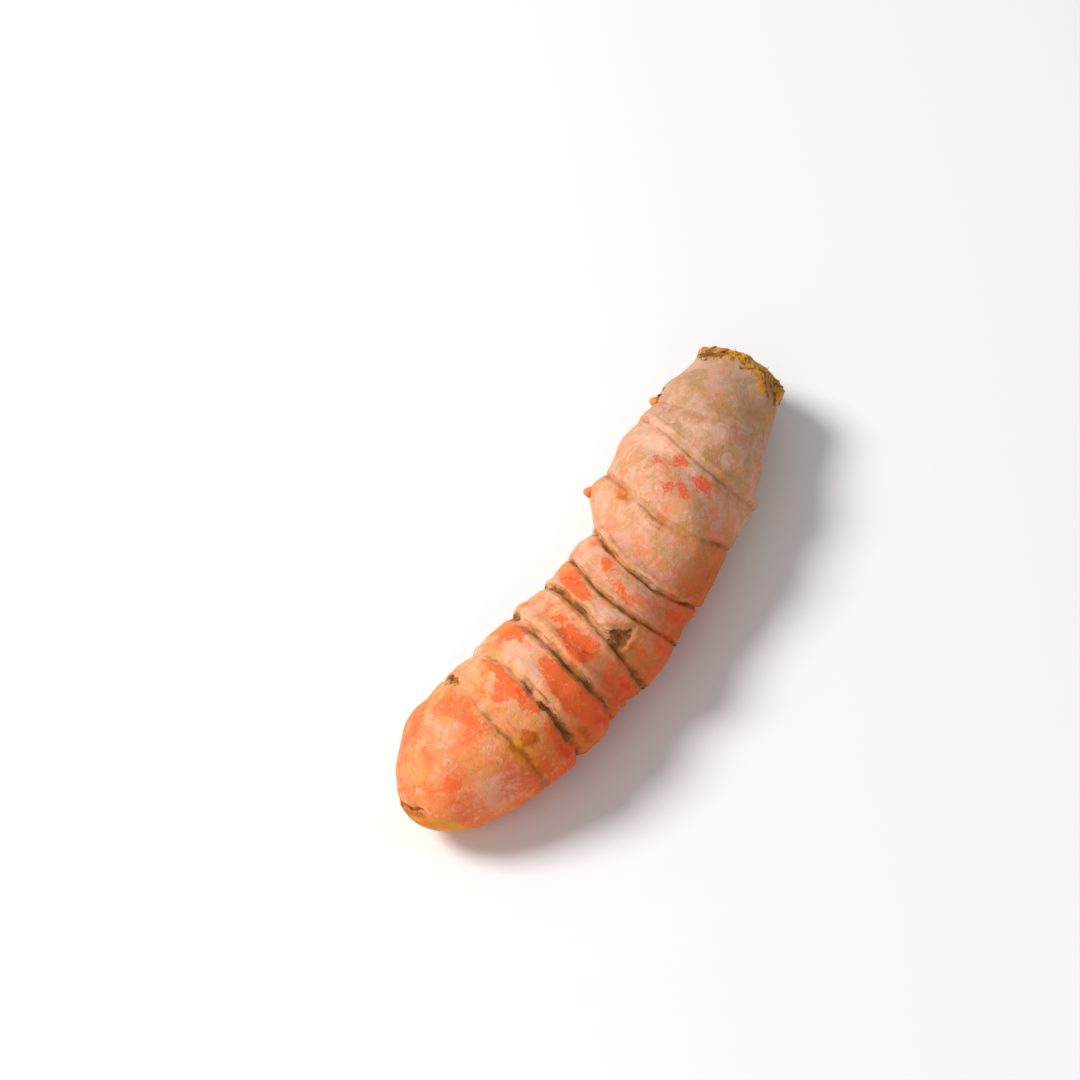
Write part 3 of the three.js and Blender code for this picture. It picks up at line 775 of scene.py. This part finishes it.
def build_skin():
    """The net as a closed skin, with a pole in the crown's face and one at the tip."""
    points, band, phi, tip = skin_net()
    rows, columns = band.shape
    places = np.concatenate([points[1:].reshape(-1, 3), points[:1, 0], tip[None]])
    crown_pole = (rows - 1) * columns
    tip_pole = crown_pole + 1
    last = (rows - 2) * columns
    faces, uvs = [], []
    for row in range(rows - 2):
        v0, v1 = 1 - (row + 1) / rows, 1 - (row + 2) / rows
        for column in range(columns):
            a, b = row * columns + column, row * columns + (column + 1) % columns
            u0, u1 = column / columns, (column + 1) / columns
            faces.append((a, b, b + columns, a + columns))
            uvs += [(u0, v0), (u1, v0), (u1, v1), (u0, v1)]
    for column in range(columns):
        after = (column + 1) % columns
        u0, u1 = column / columns, (column + 1) / columns
        faces.append((crown_pole, after, column))
        uvs += [((u0 + u1) / 2, 1), (u1, 1 - 1 / rows), (u0, 1 - 1 / rows)]
        faces.append((last + column, last + after, tip_pole))
        uvs += [(u0, 1 / rows), (u1, 1 / rows), ((u0 + u1) / 2, 0)]
    marks = {name: np.concatenate([values[1:].ravel(), values[:1, 0], values[-1:, 0]])
             for name, values in skin_marks(points, band, phi).items()}
    piece = new_piece("turmeric_root", to_part(places) * MM, faces=faces, marks=marks)
    uv_map = piece.data.uv_layers.new(name="OFBake")
    uv_map.data.foreach_set("uv", np.array(uvs, np.float32).ravel())
    piece.data.shade_smooth()
    return piece


# ---- Node helpers

def feed(tree, node, feeds):
    """Fills a node's inputs, each with a plain value or another node's output."""
    for name, value in feeds.items():
        if isinstance(value, bpy.types.NodeSocket):
            tree.links.new(value, node.inputs[name])
        elif value is not None:
            node.inputs[name].default_value = value


def add(tree, kind, feeds=None, **settings):
    """A new node with its settings and its inputs."""
    node = tree.nodes.new(kind)
    for name, value in settings.items():
        setattr(node, name, value)
    feed(tree, node, feeds or {})
    return node


def new_tree(name, kind, inputs, outputs):
    """A node tree with named inputs and outputs: the tree, what it is given, and its last node."""
    tree = bpy.data.node_groups.new(name, kind)
    for direction, sockets in (("INPUT", inputs), ("OUTPUT", outputs)):
        for label, value_type in sockets.items():
            tree.interface.new_socket(
                label, in_out=direction, socket_type="NodeSocket" + value_type)
    return tree, tree.nodes.new("NodeGroupInput").outputs, tree.nodes.new("NodeGroupOutput")


def maths(tree, operation, a, b, clamp=False):
    node = add(tree, "ShaderNodeMath", {0: a, 1: b}, operation=operation, use_clamp=clamp)
    return node.outputs[0]


def times(tree, a, b):
    return maths(tree, "MULTIPLY", a, b)


def plus(tree, a, b):
    return maths(tree, "ADD", a, b)


def minus(tree, a, b):
    return maths(tree, "SUBTRACT", a, b)


def step(tree, value, low, high, bottom=0.0, top=1.0):
    """Goes smoothly from bottom to top as the value goes from low to high."""
    feeds = dict(enumerate((value, low, high, bottom, top)))
    return add(tree, "ShaderNodeMapRange", feeds, interpolation_type="SMOOTHSTEP").outputs[0]


def steps(tree, *parts):
    """Several smooth steps multiplied together."""
    out = step(tree, *parts[0])
    for part in parts[1:]:
        out = times(tree, out, step(tree, *part))
    return out


def blend(tree, factor, a, b, kind="MIX"):
    feeds = {"Factor": factor, 6: a, 7: b}
    return add(tree, "ShaderNodeMix", feeds, data_type="RGBA", blend_type=kind).outputs[2]


def tint(tree, value, low, high, under, over, top=1.0):
    """One colour that goes over to another as the value goes from low to high."""
    return blend(tree, step(tree, value, low, high, 0.0, top), under, over)


def layered(tree, colour, layers):
    """A colour with layers painted on it, each a mask and the layer's own colour."""
    for mask, paint in layers:
        colour = blend(tree, mask, colour, paint)
    return colour


def noise(tree, vector, scale, detail, roughness, distortion=0.0):
    feeds = {"Vector": vector, "Scale": scale, "Detail": detail,
             "Roughness": roughness, "Distortion": distortion}
    return add(tree, "ShaderNodeTexNoise", feeds).outputs["Fac"]


def millimetres(tree, place, stretch=1.0):
    """The place in millimetres. Below 1, stretch draws a pattern out along the root."""
    feeds = {"Vector": place, "Scale": (stretch / MM, 1 / MM, 1 / MM)}
    return add(tree, "ShaderNodeMapping", feeds).outputs["Vector"]


def mark(tree, name):
    return add(tree, "ShaderNodeAttribute", attribute_name=name).outputs["Fac"]


def ragged(tree, name, jitter, amount, low, high, top):
    """A mark with its edge broken up by the skin's own grain."""
    value = plus(tree, mark(tree, name), times(tree, jitter, amount))
    return step(tree, value, low, high, 0.0, top)


def ramp(tree, value, stops):
    node = add(tree, "ShaderNodeValToRGB", {"Fac": value})
    bar = node.color_ramp
    bar.elements[0].position, bar.elements[0].color = stops[0]
    bar.elements[1].position, bar.elements[1].color = stops[-1]
    for position, colour in stops[1:-1]:
        bar.elements.new(position).color = colour
    return node.outputs["Color"]


def add_bump(tree, shader, height, strength, distance):
    feeds = {"Strength": strength, "Distance": distance, "Height": height}
    bump = add(tree, "ShaderNodeBump", feeds)
    feed(tree, shader, {"Normal": bump.outputs["Normal"]})


def new_material(name):
    material = bpy.data.materials.new(name)
    material.use_nodes = True
    shader = next(n for n in material.node_tree.nodes if n.type == "BSDF_PRINCIPLED")
    return material, material.node_tree, shader


# ---- Finishes

def skin_grain_group():
    """Fine grain of plant skin: blotches, mottling, pores, and threads that run along the root."""
    group, given, end = new_tree(
        "skin_grain", "ShaderNodeTree", {"Place": "Vector"},
        dict.fromkeys(("Blotch", "Mottle", "Pore", "Height"), "Float"))
    place = millimetres(group, given["Place"])
    pore = noise(group, place, 2.9, 3, 0.6)
    thread = noise(group, millimetres(group, given["Place"], THREAD_STRETCH), 1.5, 3, 0.65, 0.6)
    feed(group, end, {
        "Blotch": noise(group, place, 0.38, 5, 0.62, 0.5),
        "Mottle": noise(group, place, 1.15, 4, 0.6, 0.3),
        "Pore": pore,
        "Height": plus(group, times(group, pore, 0.6), times(group, thread, 0.4)),
    })
    return group


def grain_in(tree, grain):
    """The grain placed in a material, and the place that it reads."""
    place = add(tree, "ShaderNodeTexCoord").outputs["Object"]
    return add(tree, "ShaderNodeGroup", {"Place": place}, node_tree=grain).outputs, place


def skin_material(grain):
    """Orange skin under a pale bloom, then the marks, painted shade on the lower side, the crown's
    cork and the creases.
    """
    material, tree, shader = new_material("turmeric_skin")
    out, place = grain_in(tree, grain)
    blotch, mottle, pore = out["Blotch"], out["Mottle"], out["Pore"]
    local = millimetres(tree, place)
    broad = noise(tree, local, 0.17, 3, 0.5)
    dust = noise(tree, local, 0.62, 5, 0.7, 0.4)
    cloud = noise(tree, millimetres(tree, place, CLOUD_STRETCH), 0.33, 5, 0.65, 0.8)
    young = mark(tree, "place")
    jitter = minus(tree, plus(tree, times(tree, blotch, 0.45), times(tree, mottle, 0.55)), 0.5)
    torn = {name: ragged(tree, name, jitter, *edge) for name, edge in RAGGED_MARKS.items()}

    orange = layered(tree, tint(tree, blotch, 0.27, 0.42, DEEP_ORANGE, ORANGE), [
        (steps(tree, (broad, 0.48, 0.68), (young, 0.80, 0.95, 0.1, 0.9)), SOFT_ORANGE),
        # Deep orange patches, partly the skin's own colour and partly painted shade
        (torn["deep"], DEEP_ORANGE),
        (step(tree, young, 0.36, 0.46, 0.7, 0.0), ROSE_RED),
    ])
    thick, weathered = ramp(tree, young, PINK_ALONG), ramp(tree, young, WEATHERED_ALONG)
    thick_dust = steps(tree, (mottle, 0.54, 0.68, 0.0, 0.65), (young, 0.0, 0.25, 0.35, 1.0))
    stain = steps(tree, (broad, 0.49, 0.57), (mottle, 0.35, 0.58, 0.2, 0.9),
                  (young, 0.55, 0.85, 0.05, 0.7))
    bloom = layered(tree, tint(tree, cloud, 0.39, 0.61, thick, weathered), [
        (thick_dust, CREAM_BLOOM),
        (steps(tree, (blotch, 0.49, 0.60), (young, 0.1, 0.5, 0.25, 0.9)), SALMON_BLOOM),
        (stain, OCHRE_BLOOM),
        (torn["cream"], CREAM_BLOOM),
    ])
    # Painted shade on the lower side, partly the skin's own deeper orange
    bloom = blend(tree, times(tree, mark(tree, "under"), 0.85), bloom, UNDERSIDE_AND_SHADE_TINT, "MULTIPLY")

    # Where the bloom is gone: with a crisp edge on old skin, and more faded on the young tip
    crisp, faded = torn["bare"], ragged(tree, "bare", jitter, 1.3, 0.10, 0.85, 0.9)
    bare = plus(tree, times(tree, crisp, step(tree, young, 0.90, 0.93, 1.0, 0.7)),
                times(tree, faded, step(tree, young, 0.90, 0.93, 0.0, 0.4)))
    # Pale flecks on the bare patches, partly the skin's own pale specks and partly painted
    # highlights in place of wet glints
    fleck_and_glint_noise = plus(tree, times(tree, mottle, 0.5), times(tree, pore, 0.5))
    bare = times(tree, bare, minus(tree, 1.0, step(tree, fleck_and_glint_noise, 0.545, 0.60, 0.0, 0.75)))
    dusty = steps(tree, (dust, 0.53, 0.63, 0.0, 0.75), (young, 0.70, 0.94, 0.10, 1.0),
                  (crisp, 0.0, 1.0, 1.0, 0.45))
    speckled_rose = times(tree, torn["rose"], step(tree, mottle, 0.44, 0.56, 1.0, 0.15))
    worn_tan = times(tree, torn["tan"], step(tree, mottle, 0.38, 0.56, 1.0, 0.35))
    yellow = tint(tree, mottle, 0.46, 0.70, OCHRE, OCHRE_BLOOM)
    yellow = tint(tree, cloud, 0.48, 0.62, yellow, AMBER, 0.7)
    middle = steps(tree, (young, 0.40, 0.50), (young, 0.86, 0.90, 1.0, 0.0))
    freckles = steps(tree, (pore, 0.58, 0.68, 0.0, 0.6), (young, 0.45, 0.65, 1.0, 0.4))
    colour = layered(tree, bloom, [
        (bare, orange),
        (dusty, PALE_SALMON),
        (speckled_rose, tint(tree, young, 0.55, 0.75, ROSE, YOUNG_ROSE)),
        (worn_tan, tint(tree, young, 0.79, 0.85, KHAKI, OCHRE_TAN)),
        (torn["edging"], tint(tree, mottle, 0.42, 0.58, KHAKI_BROWN, EDGE_TAN)),
        (torn["ochre"], blend(tree, middle, yellow, AMBER)),
        (freckles, KHAKI),
        (torn["rust"], RUST),
    ])
    # Painted shade on the lower side again, now over the marks as well
    colour = blend(tree, mark(tree, "under"), colour, SHADE_TINT, "MULTIPLY")

    cork = tint(tree, blotch, 0.42, 0.58, RING_TAN, OCHRE)
    cork = tint(tree, cloud, 0.44, 0.56, cork, OLIVE_TAN, 0.8)
    cork = tint(tree, mottle, 0.55, 0.66, cork, RING_BROWN, 0.75)
    cork = tint(tree, pore, 0.57, 0.68, cork, DARK_BROWN, 0.6)
    dark = tint(tree, blotch, 0.44, 0.60, RING_BROWN, RING_TAN)
    dark = tint(tree, mottle, 0.52, 0.64, dark, DARK_BROWN, 0.8)
    colour = layered(tree, colour, [
        (torn["crown"], cork),
        (torn["crease"], tint(tree, blotch, 0.42, 0.58, RING_BROWN, RING_TAN)),
        (torn["brown"], dark),
    ])

    rough = minus(tree, step(tree, pore, 0.3, 0.7, 0.46, 0.64), times(tree, bare, 0.10))
    corky = maths(tree, "MAXIMUM", torn["crown"], torn["brown"])
    feed(tree, shader, {
        "Base Color": colour,
        "Roughness": maths(tree, "ADD", rough, times(tree, corky, 0.22), clamp=True),
        "Specular IOR Level": 0.1,
        "Subsurface Weight": 0.2,
        "Subsurface Radius": (1.0, 0.35, 0.15),
        "Subsurface Scale": 0.0015,
    })
    film = plus(tree, out["Height"], times(tree, bare, -0.30))
    film = plus(tree, film, times(tree, mottle, 0.6))
    add_bump(tree, shader, film, strength=0.6, distance=0.00028)
    return material


def bud_material(grain):
    """Orange flesh, brown where a bud leaves the skin and dry at its tip."""
    material, tree, shader = new_material("bud_flesh")
    out, _ = grain_in(tree, grain)
    mottle, pore, up = out["Mottle"], out["Pore"], mark(tree, "tip")
    dry = step(tree, plus(tree, up, minus(tree, pore, 0.5)), 0.68, 0.95, 0.0, 0.8)
    colour = layered(tree, tint(tree, mottle, 0.40, 0.60, ORANGE, BUD_AMBER), [
        (dry, KHAKI), (step(tree, up, 0.45, 0.70, 0.75, 0.0), RING_BROWN)])
    feed(tree, shader, {"Base Color": colour, "Roughness": step(tree, pore, 0.3, 0.7, 0.45, 0.65),
                        "Specular IOR Level": 0.3})
    add_bump(tree, shader, out["Height"], strength=0.5, distance=0.0002)
    return material


def dry_material(grain, name, dark, light, low, high, specks):
    """Dry skin and fibre: two colours in patches, with dark specks."""
    material, tree, shader = new_material(name)
    out, _ = grain_in(tree, grain)
    mottle, pore = out["Mottle"], out["Pore"]
    colour = tint(tree, mottle, low, high, dark, light)
    colour = tint(tree, pore, 0.55, 0.68, colour, DARK_BROWN, specks)
    feed(tree, shader, {"Base Color": colour, "Roughness": step(tree, pore, 0.3, 0.7, 0.7, 0.9),
                        "Specular IOR Level": 0.15})
    add_bump(tree, shader, out["Height"], strength=0.5, distance=0.0002)
    return material


# ---- Buds on the sides, and what the trees grow on: lines along the rings, points on the skin

def build_buds():
    """Small orange side buds, each a blunt knob with its foot sunk into the skin."""
    points, faces, tips = [], [], []
    for number, (place, angle, radius, height, lean) in enumerate(BUDS):
        foot, ahead, across, out = standing(place, angle)
        slope = math.tan(math.radians(lean))
        start = len(points)
        for row in range(BUD_ROWS):
            t = row / BUD_ROWS
            wide = radius * (1.15 - 0.42 * t) * math.sqrt(max(1 - t**2.6, 0))
            for column in range(BUD_COLUMNS):
                turn = column / BUD_COLUMNS * 2 * math.pi
                spot = (foot + ahead * (math.cos(turn) * wide + t * height * slope)
                        + across * (math.sin(turn) * wide)
                        + out * (t * (height + BUD_SINK) - BUD_SINK))
                nudge = float(lumps(spot[None] + number * 9, 0.8, 31)[0]) * 0.20 * radius
                points.append(spot + out * nudge + across * nudge * 0.6)
                tips.append(t)
        points.append(foot + out * height + ahead * height * slope)
        tips.append(1.0)
        for row in range(BUD_ROWS):
            for column in range(BUD_COLUMNS):
                a = start + row * BUD_COLUMNS + column
                b = start + row * BUD_COLUMNS + (column + 1) % BUD_COLUMNS
                faces.append((a, b, b + BUD_COLUMNS, a + BUD_COLUMNS) if row < BUD_ROWS - 1
                             else (a, b, len(points) - 1))
        faces.append([start + column for column in reversed(range(BUD_COLUMNS))])
    piece = new_piece("side_buds", to_part(np.array(points)) * MM, faces=faces, marks={"tip": tips})
    piece.data.shade_smooth()
    return piece


def unit(vectors):
    return vectors / np.linalg.norm(vectors, axis=1)[:, None]


def ring_lines():
    """Loops that run round just above each ring, with the way ahead and outwards at every point."""
    points, edges, ahead, out, strength = [], [], [], [], []
    phi = np.arange(FRINGE_POINTS) / FRINGE_POINTS * 2 * np.pi
    for number in range(1, len(RINGS)):
        start = len(points)
        x = course(number, phi) + 0.40 + 0.2 * RINGS[number, 6]
        base = skin_point(x, phi)
        here = skin_point(x, phi, fine_relief(np.full_like(x, number - 0.02), x, phi, base))
        points += list(to_part(here) * MM)
        ahead += list(unit(skin_point(x + 0.4, phi) - base))
        out += list(unit(here - middle_line(x)))
        torn = 0.5 + 0.6 * circle(phi, 3.4, 200 + number) + 0.6 * circle(phi, 0.8, 220 + number)
        torn = np.clip(torn * ring_strength(number, phi), 0, 1)
        strength += list(torn * FRINGE_SHARE[number - 1] * rise(0.5, 2.0, here[:, 2]))
        edges += [(start + k, start + (k + 1) % FRINGE_POINTS) for k in range(FRINGE_POINTS)]
    marks = {"ahead": ahead, "out": out, "strength": strength}
    return new_piece("ring_lines", points, edges=edges, marks=marks)


def crown_spots(count, seed, low, high, tilt):
    """Uneven places round the crown's torn rim, low to high millimetres back from it."""
    random = np.random.default_rng(seed)
    spots = []
    for _ in range(count):
        angle = random.uniform(0, 360)
        rim = float(course(0, np.array(math.radians(angle))))
        spots.append((rim - random.uniform(low, high), angle, random.uniform(*tilt)))
    return spots


def spots_on_skin(name, spots, sink):
    """Points on the skin at the given places and angles, each with its way outwards."""
    points, out = [], []
    for place, angle, tilt in spots:
        foot, ahead, _, away = standing(place, angle)
        way = away * math.cos(math.radians(tilt)) + ahead * math.sin(math.radians(tilt))
        points.append(to_part(foot - away * sink) * MM)
        out.append(way / np.linalg.norm(way))
    return new_piece(name, points, marks={"out": out})


# ---- Dry fringes, fibres and scraps

def growing_tree(name, **sizes):
    """A tree that grows a piece on its holder, with its named sizes and its finish."""
    inputs = {"Geometry": "Geometry", **sizes, "Finish": "Material"}
    return new_tree(name, "GeometryNodeTree", inputs, {"Geometry": "Geometry"})


def named(tree, name, kind="FLOAT"):
    node = add(tree, "GeometryNodeInputNamedAttribute", {"Name": name}, data_type=kind)
    return node.outputs["Attribute"]


def vector_maths(tree, operation, feeds):
    return add(tree, "ShaderNodeVectorMath", feeds, operation=operation).outputs[0]


def joined(tree, x, y, z):
    return add(tree, "ShaderNodeCombineXYZ", {"X": x, "Y": y, "Z": z}).outputs[0]


def end_tree(tree, given, end, shape):
    """What every tree ends in: real meshes, with their finish."""
    real = add(tree, "GeometryNodeRealizeInstances", {"Geometry": shape})
    feeds = {"Geometry": real.outputs["Geometry"], "Material": given["Finish"]}
    finish = add(tree, "GeometryNodeSetMaterial", feeds)
    feed(tree, end, {"Geometry": finish.outputs["Geometry"]})
    return tree


def fringe_tree():
    """Raises a thin dry lip from each ring line, leaning over the crease below it."""
    tree, given, end = growing_tree("dry_fringe", Lift="Float", Lean="Float")
    strength = named(tree, "strength")
    out, ahead = named(tree, "out", "FLOAT_VECTOR"), named(tree, "ahead", "FLOAT_VECTOR")
    lift = times(tree, strength, given["Lift"])
    lean = times(tree, strength, given["Lean"])
    shape, top = given["Geometry"], None
    for up, back in FRINGE_STEPS:
        rise_by = vector_maths(tree, "SCALE", {0: out, "Scale": times(tree, lift, up)})
        lean_by = vector_maths(tree, "SCALE", {0: ahead, "Scale": times(tree, lean, -back)})
        feeds = {"Mesh": shape, "Selection": top, "Offset Scale": 1.0,
                 "Offset": vector_maths(tree, "ADD", {0: rise_by, 1: lean_by})}
        extrude = add(tree, "GeometryNodeExtrudeMesh", feeds, mode="EDGES")
        shape, top = extrude.outputs["Mesh"], extrude.outputs["Top"]
    return end_tree(tree, given, end, shape)


def place_on(tree, given, end, shape):
    """Puts a shape on every point, facing outwards, at random turns and sizes."""
    spots = add(tree, "GeometryNodeMeshToPoints", {"Mesh": given["Geometry"]})
    outwards = named(tree, "out", "FLOAT_VECTOR")
    stand = add(tree, "FunctionNodeAlignRotationToVector", {"Vector": outwards}, axis="Z")
    least, most = (-RANDOM_LEAN, -RANDOM_LEAN, -math.pi), (RANDOM_LEAN, RANDOM_LEAN, math.pi)
    spin = add(tree, "FunctionNodeRandomValue", {0: least, 1: most, "Seed": given["Seed"]},
               data_type="FLOAT_VECTOR")
    feeds = {"Rotation": stand.outputs["Rotation"], "Rotate By": spin.outputs[0]}
    turn = add(tree, "FunctionNodeRotateRotation", feeds, rotation_space="LOCAL")
    feeds = {2: SMALLEST, 3: LARGEST, "Seed": plus(tree, given["Seed"], 5)}
    size = add(tree, "FunctionNodeRandomValue", feeds, data_type="FLOAT")
    put = add(tree, "GeometryNodeInstanceOnPoints", {
        "Points": spots.outputs["Points"], "Instance": shape,
        "Rotation": turn.outputs["Rotation"], "Scale": size.outputs[1]})
    return end_tree(tree, given, end, put.outputs["Instances"])


def strand_tree():
    """A thin bent fibre on every point."""
    tree, given, end = growing_tree(
        "crown_strands", Length="Float", Thickness="Float", Bend="Float", Seed="Int")
    length = given["Length"]
    bend = add(tree, "GeometryNodeCurveQuadraticBezier", {
        "Resolution": 5, "Start": FIBRE_ROOT, "End": joined(tree, given["Bend"], None, length),
        "Middle": joined(tree, None, None, times(tree, length, 0.6))})
    along_it = add(tree, "GeometryNodeSplineParameter").outputs["Factor"]
    thinning = step(tree, along_it, 0.2, 1.05, 1.0, 0.15)
    feeds = {"Curve": bend.outputs["Curve"], "Radius": thinning}
    taper = add(tree, "GeometryNodeSetCurveRadius", feeds)
    feeds = {"Resolution": 5, "Radius": given["Thickness"]}
    ring = add(tree, "GeometryNodeCurvePrimitiveCircle", feeds)
    tube = add(tree, "GeometryNodeCurveToMesh", {
        "Curve": taper.outputs["Curve"], "Profile Curve": ring.outputs["Curve"],
        "Scale": add(tree, "GeometryNodeInputRadius").outputs[0], "Fill Caps": True})
    return place_on(tree, given, end, tube.outputs["Mesh"])


def scrap_tree():
    """A small curled scrap of dry skin on every point, a few faces each."""
    tree, given, end = growing_tree(
        "dry_scraps", Length="Float", Width="Float", Curl="Float", Seed="Int")
    feeds = {"Size": (1, 1, 0.12), "Vertices X": 5, "Vertices Y": 4, "Vertices Z": 2}
    block = add(tree, "GeometryNodeMeshCube", feeds)
    position = add(tree, "GeometryNodeInputPosition").outputs[0]
    x, y, z = add(tree, "ShaderNodeSeparateXYZ", {0: position}).outputs
    narrowing = minus(tree, 1.0, times(tree, times(tree, x, x), 2.6))
    arch = times(tree, times(tree, y, y), given["Curl"])
    place = joined(tree, times(tree, x, given["Length"]),
                   times(tree, times(tree, y, narrowing), given["Width"]),
                   minus(tree, times(tree, z, given["Width"]), arch))
    feeds = {"Geometry": block.outputs["Mesh"], "Position": place}
    shape = add(tree, "GeometryNodeSetPosition", feeds)
    return place_on(tree, given, end, shape.outputs["Geometry"])


def grown(name, holder, tree, values):
    """Runs a tree on its holder and keeps the result as a plain mesh."""
    modifier = holder.modifiers.new(name, "NODES")
    modifier.node_group = tree
    for item in tree.interface.items_tree:
        if item.item_type == "SOCKET" and item.in_out == "INPUT" and item.name in values:
            modifier[item.identifier] = values[item.name]
    graph = bpy.context.evaluated_depsgraph_get()
    mesh = bpy.data.meshes.new_from_object(holder.evaluated_get(graph))
    mesh.name = name
    holder.modifiers.clear()
    bpy.data.objects.remove(holder)
    return link(mesh)


def face_outwards(mesh):
    """Turns faces that look into the root the other way."""
    bm = bmesh.new()
    bm.from_mesh(mesh)
    for face in bm.faces:
        spot = np.array(face.calc_center_median()) / MM + MIDDLE_OF_BOX
        if np.dot(spot - middle_line(np.array(spot[0])), np.array(face.normal)) < 0:
            face.normal_flip()
    bm.to_mesh(mesh)
    bm.free()


# ---- The scene

def make_camera():
    """The photograph's view: the root lies flat, so the camera looks down a little more."""
    data = bpy.data.cameras.new("camera")
    data.lens = CAMERA_LENS
    data.sensor_width = CAMERA_SENSOR
    data.clip_start, data.clip_end = 0.01, 20
    camera = link(data)
    turn, drop = math.radians(CAMERA_TURN), math.radians(CAMERA_DROP)
    level = math.cos(drop)
    ahead = Vector((math.cos(turn) * level, math.sin(turn) * level, -math.sin(drop)))
    camera.location = Vector(to_part(np.array(CAMERA_PLACE))) * MM
    camera.rotation_euler = ahead.to_track_quat("-Z", "Y").to_euler()
    bpy.context.scene.camera = camera


def make_light(name, place, size, power):
    """A round lamp that looks at the root."""
    data = bpy.data.lights.new(name, "AREA")
    data.shape = "DISK"
    data.size = size
    data.energy = power
    light = link(data)
    light.location = place
    light.rotation_euler = (-Vector(place)).to_track_quat("-Z", "Y").to_euler()


def make_floor():
    half = FLOOR_SIZE / 2
    corners = [(-half, -half, 0), (half, -half, 0), (half, half, 0), (-half, half, 0)]
    floor = new_piece("floor", corners, faces=[(0, 1, 2, 3)])
    floor.location.z = -CLEARANCE
    material, tree, shader = new_material("floor_white")
    feed(tree, shader, {"Base Color": FLOOR_WHITE, "Roughness": 0.9, "Specular IOR Level": 0.1})
    floor.data.materials.append(material)


def make_sky():
    world = bpy.data.worlds.new("soft_white")
    world.use_nodes = True
    tree = world.node_tree
    feed(tree, tree.nodes["Background"], {"Color": (1, 1, 1, 1), "Strength": SKY_STRENGTH})
    bpy.context.scene.world = world
    bpy.context.scene.view_settings.view_transform = "Standard"


def finish_piece(piece, material=None):
    """Keeps a piece off the floor, gives it a finish if one is named, and says what carries it."""
    for vertex in piece.data.vertices:
        vertex.co.z = max(vertex.co.z, CLEARANCE)
    if material is not None:
        piece.data.materials.clear()
        piece.data.materials.append(material)
    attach(piece, "root")


grain = skin_grain_group()
skin = build_skin()
finish_piece(skin, skin_material(grain))
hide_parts("rhizome")

finish_piece(build_buds(), bud_material(grain))

husk = dry_material(grain, "dry_husk", HUSK_BROWN, HUSK_TAN, low=0.34, high=0.60, specks=0.25)
fringe = grown("ring_fringes", ring_lines(), fringe_tree(), {**FRINGE_SIZES, "Finish": husk})
face_outwards(fringe.data)
fringe.data.shade_smooth()
finish_piece(fringe)

strand = dry_material(grain, "torn_fibre", OCHRE, FIBRE, low=0.40, high=0.60, specks=0.6)
spots = crown_spots(count=16, seed=5, low=0.9, high=2.6, tilt=(80, 89)) + HOLLOW_FIBRES
holder = spots_on_skin("crown_points", spots, sink=0.1)
finish_piece(grown("crown_fibres", holder, strand_tree(), {**FIBRE_SIZES, "Finish": strand}))

scrap = dry_material(grain, "dry_scrap", RING_TAN, OLIVE_TAN, low=0.36, high=0.60, specks=0.4)
spots = crown_spots(count=64, seed=8, low=0.3, high=3.0, tilt=(0, 12)) + SCRAP_PLACES
holder = spots_on_skin("scrap_points", spots, sink=0.03)
finish_piece(grown("dry_scraps", holder, scrap_tree(), {**SCRAP_SIZES, "Finish": scrap}))

make_camera()
make_floor()
make_sky()
for lamp in LIGHTS:
    make_light(*lamp)
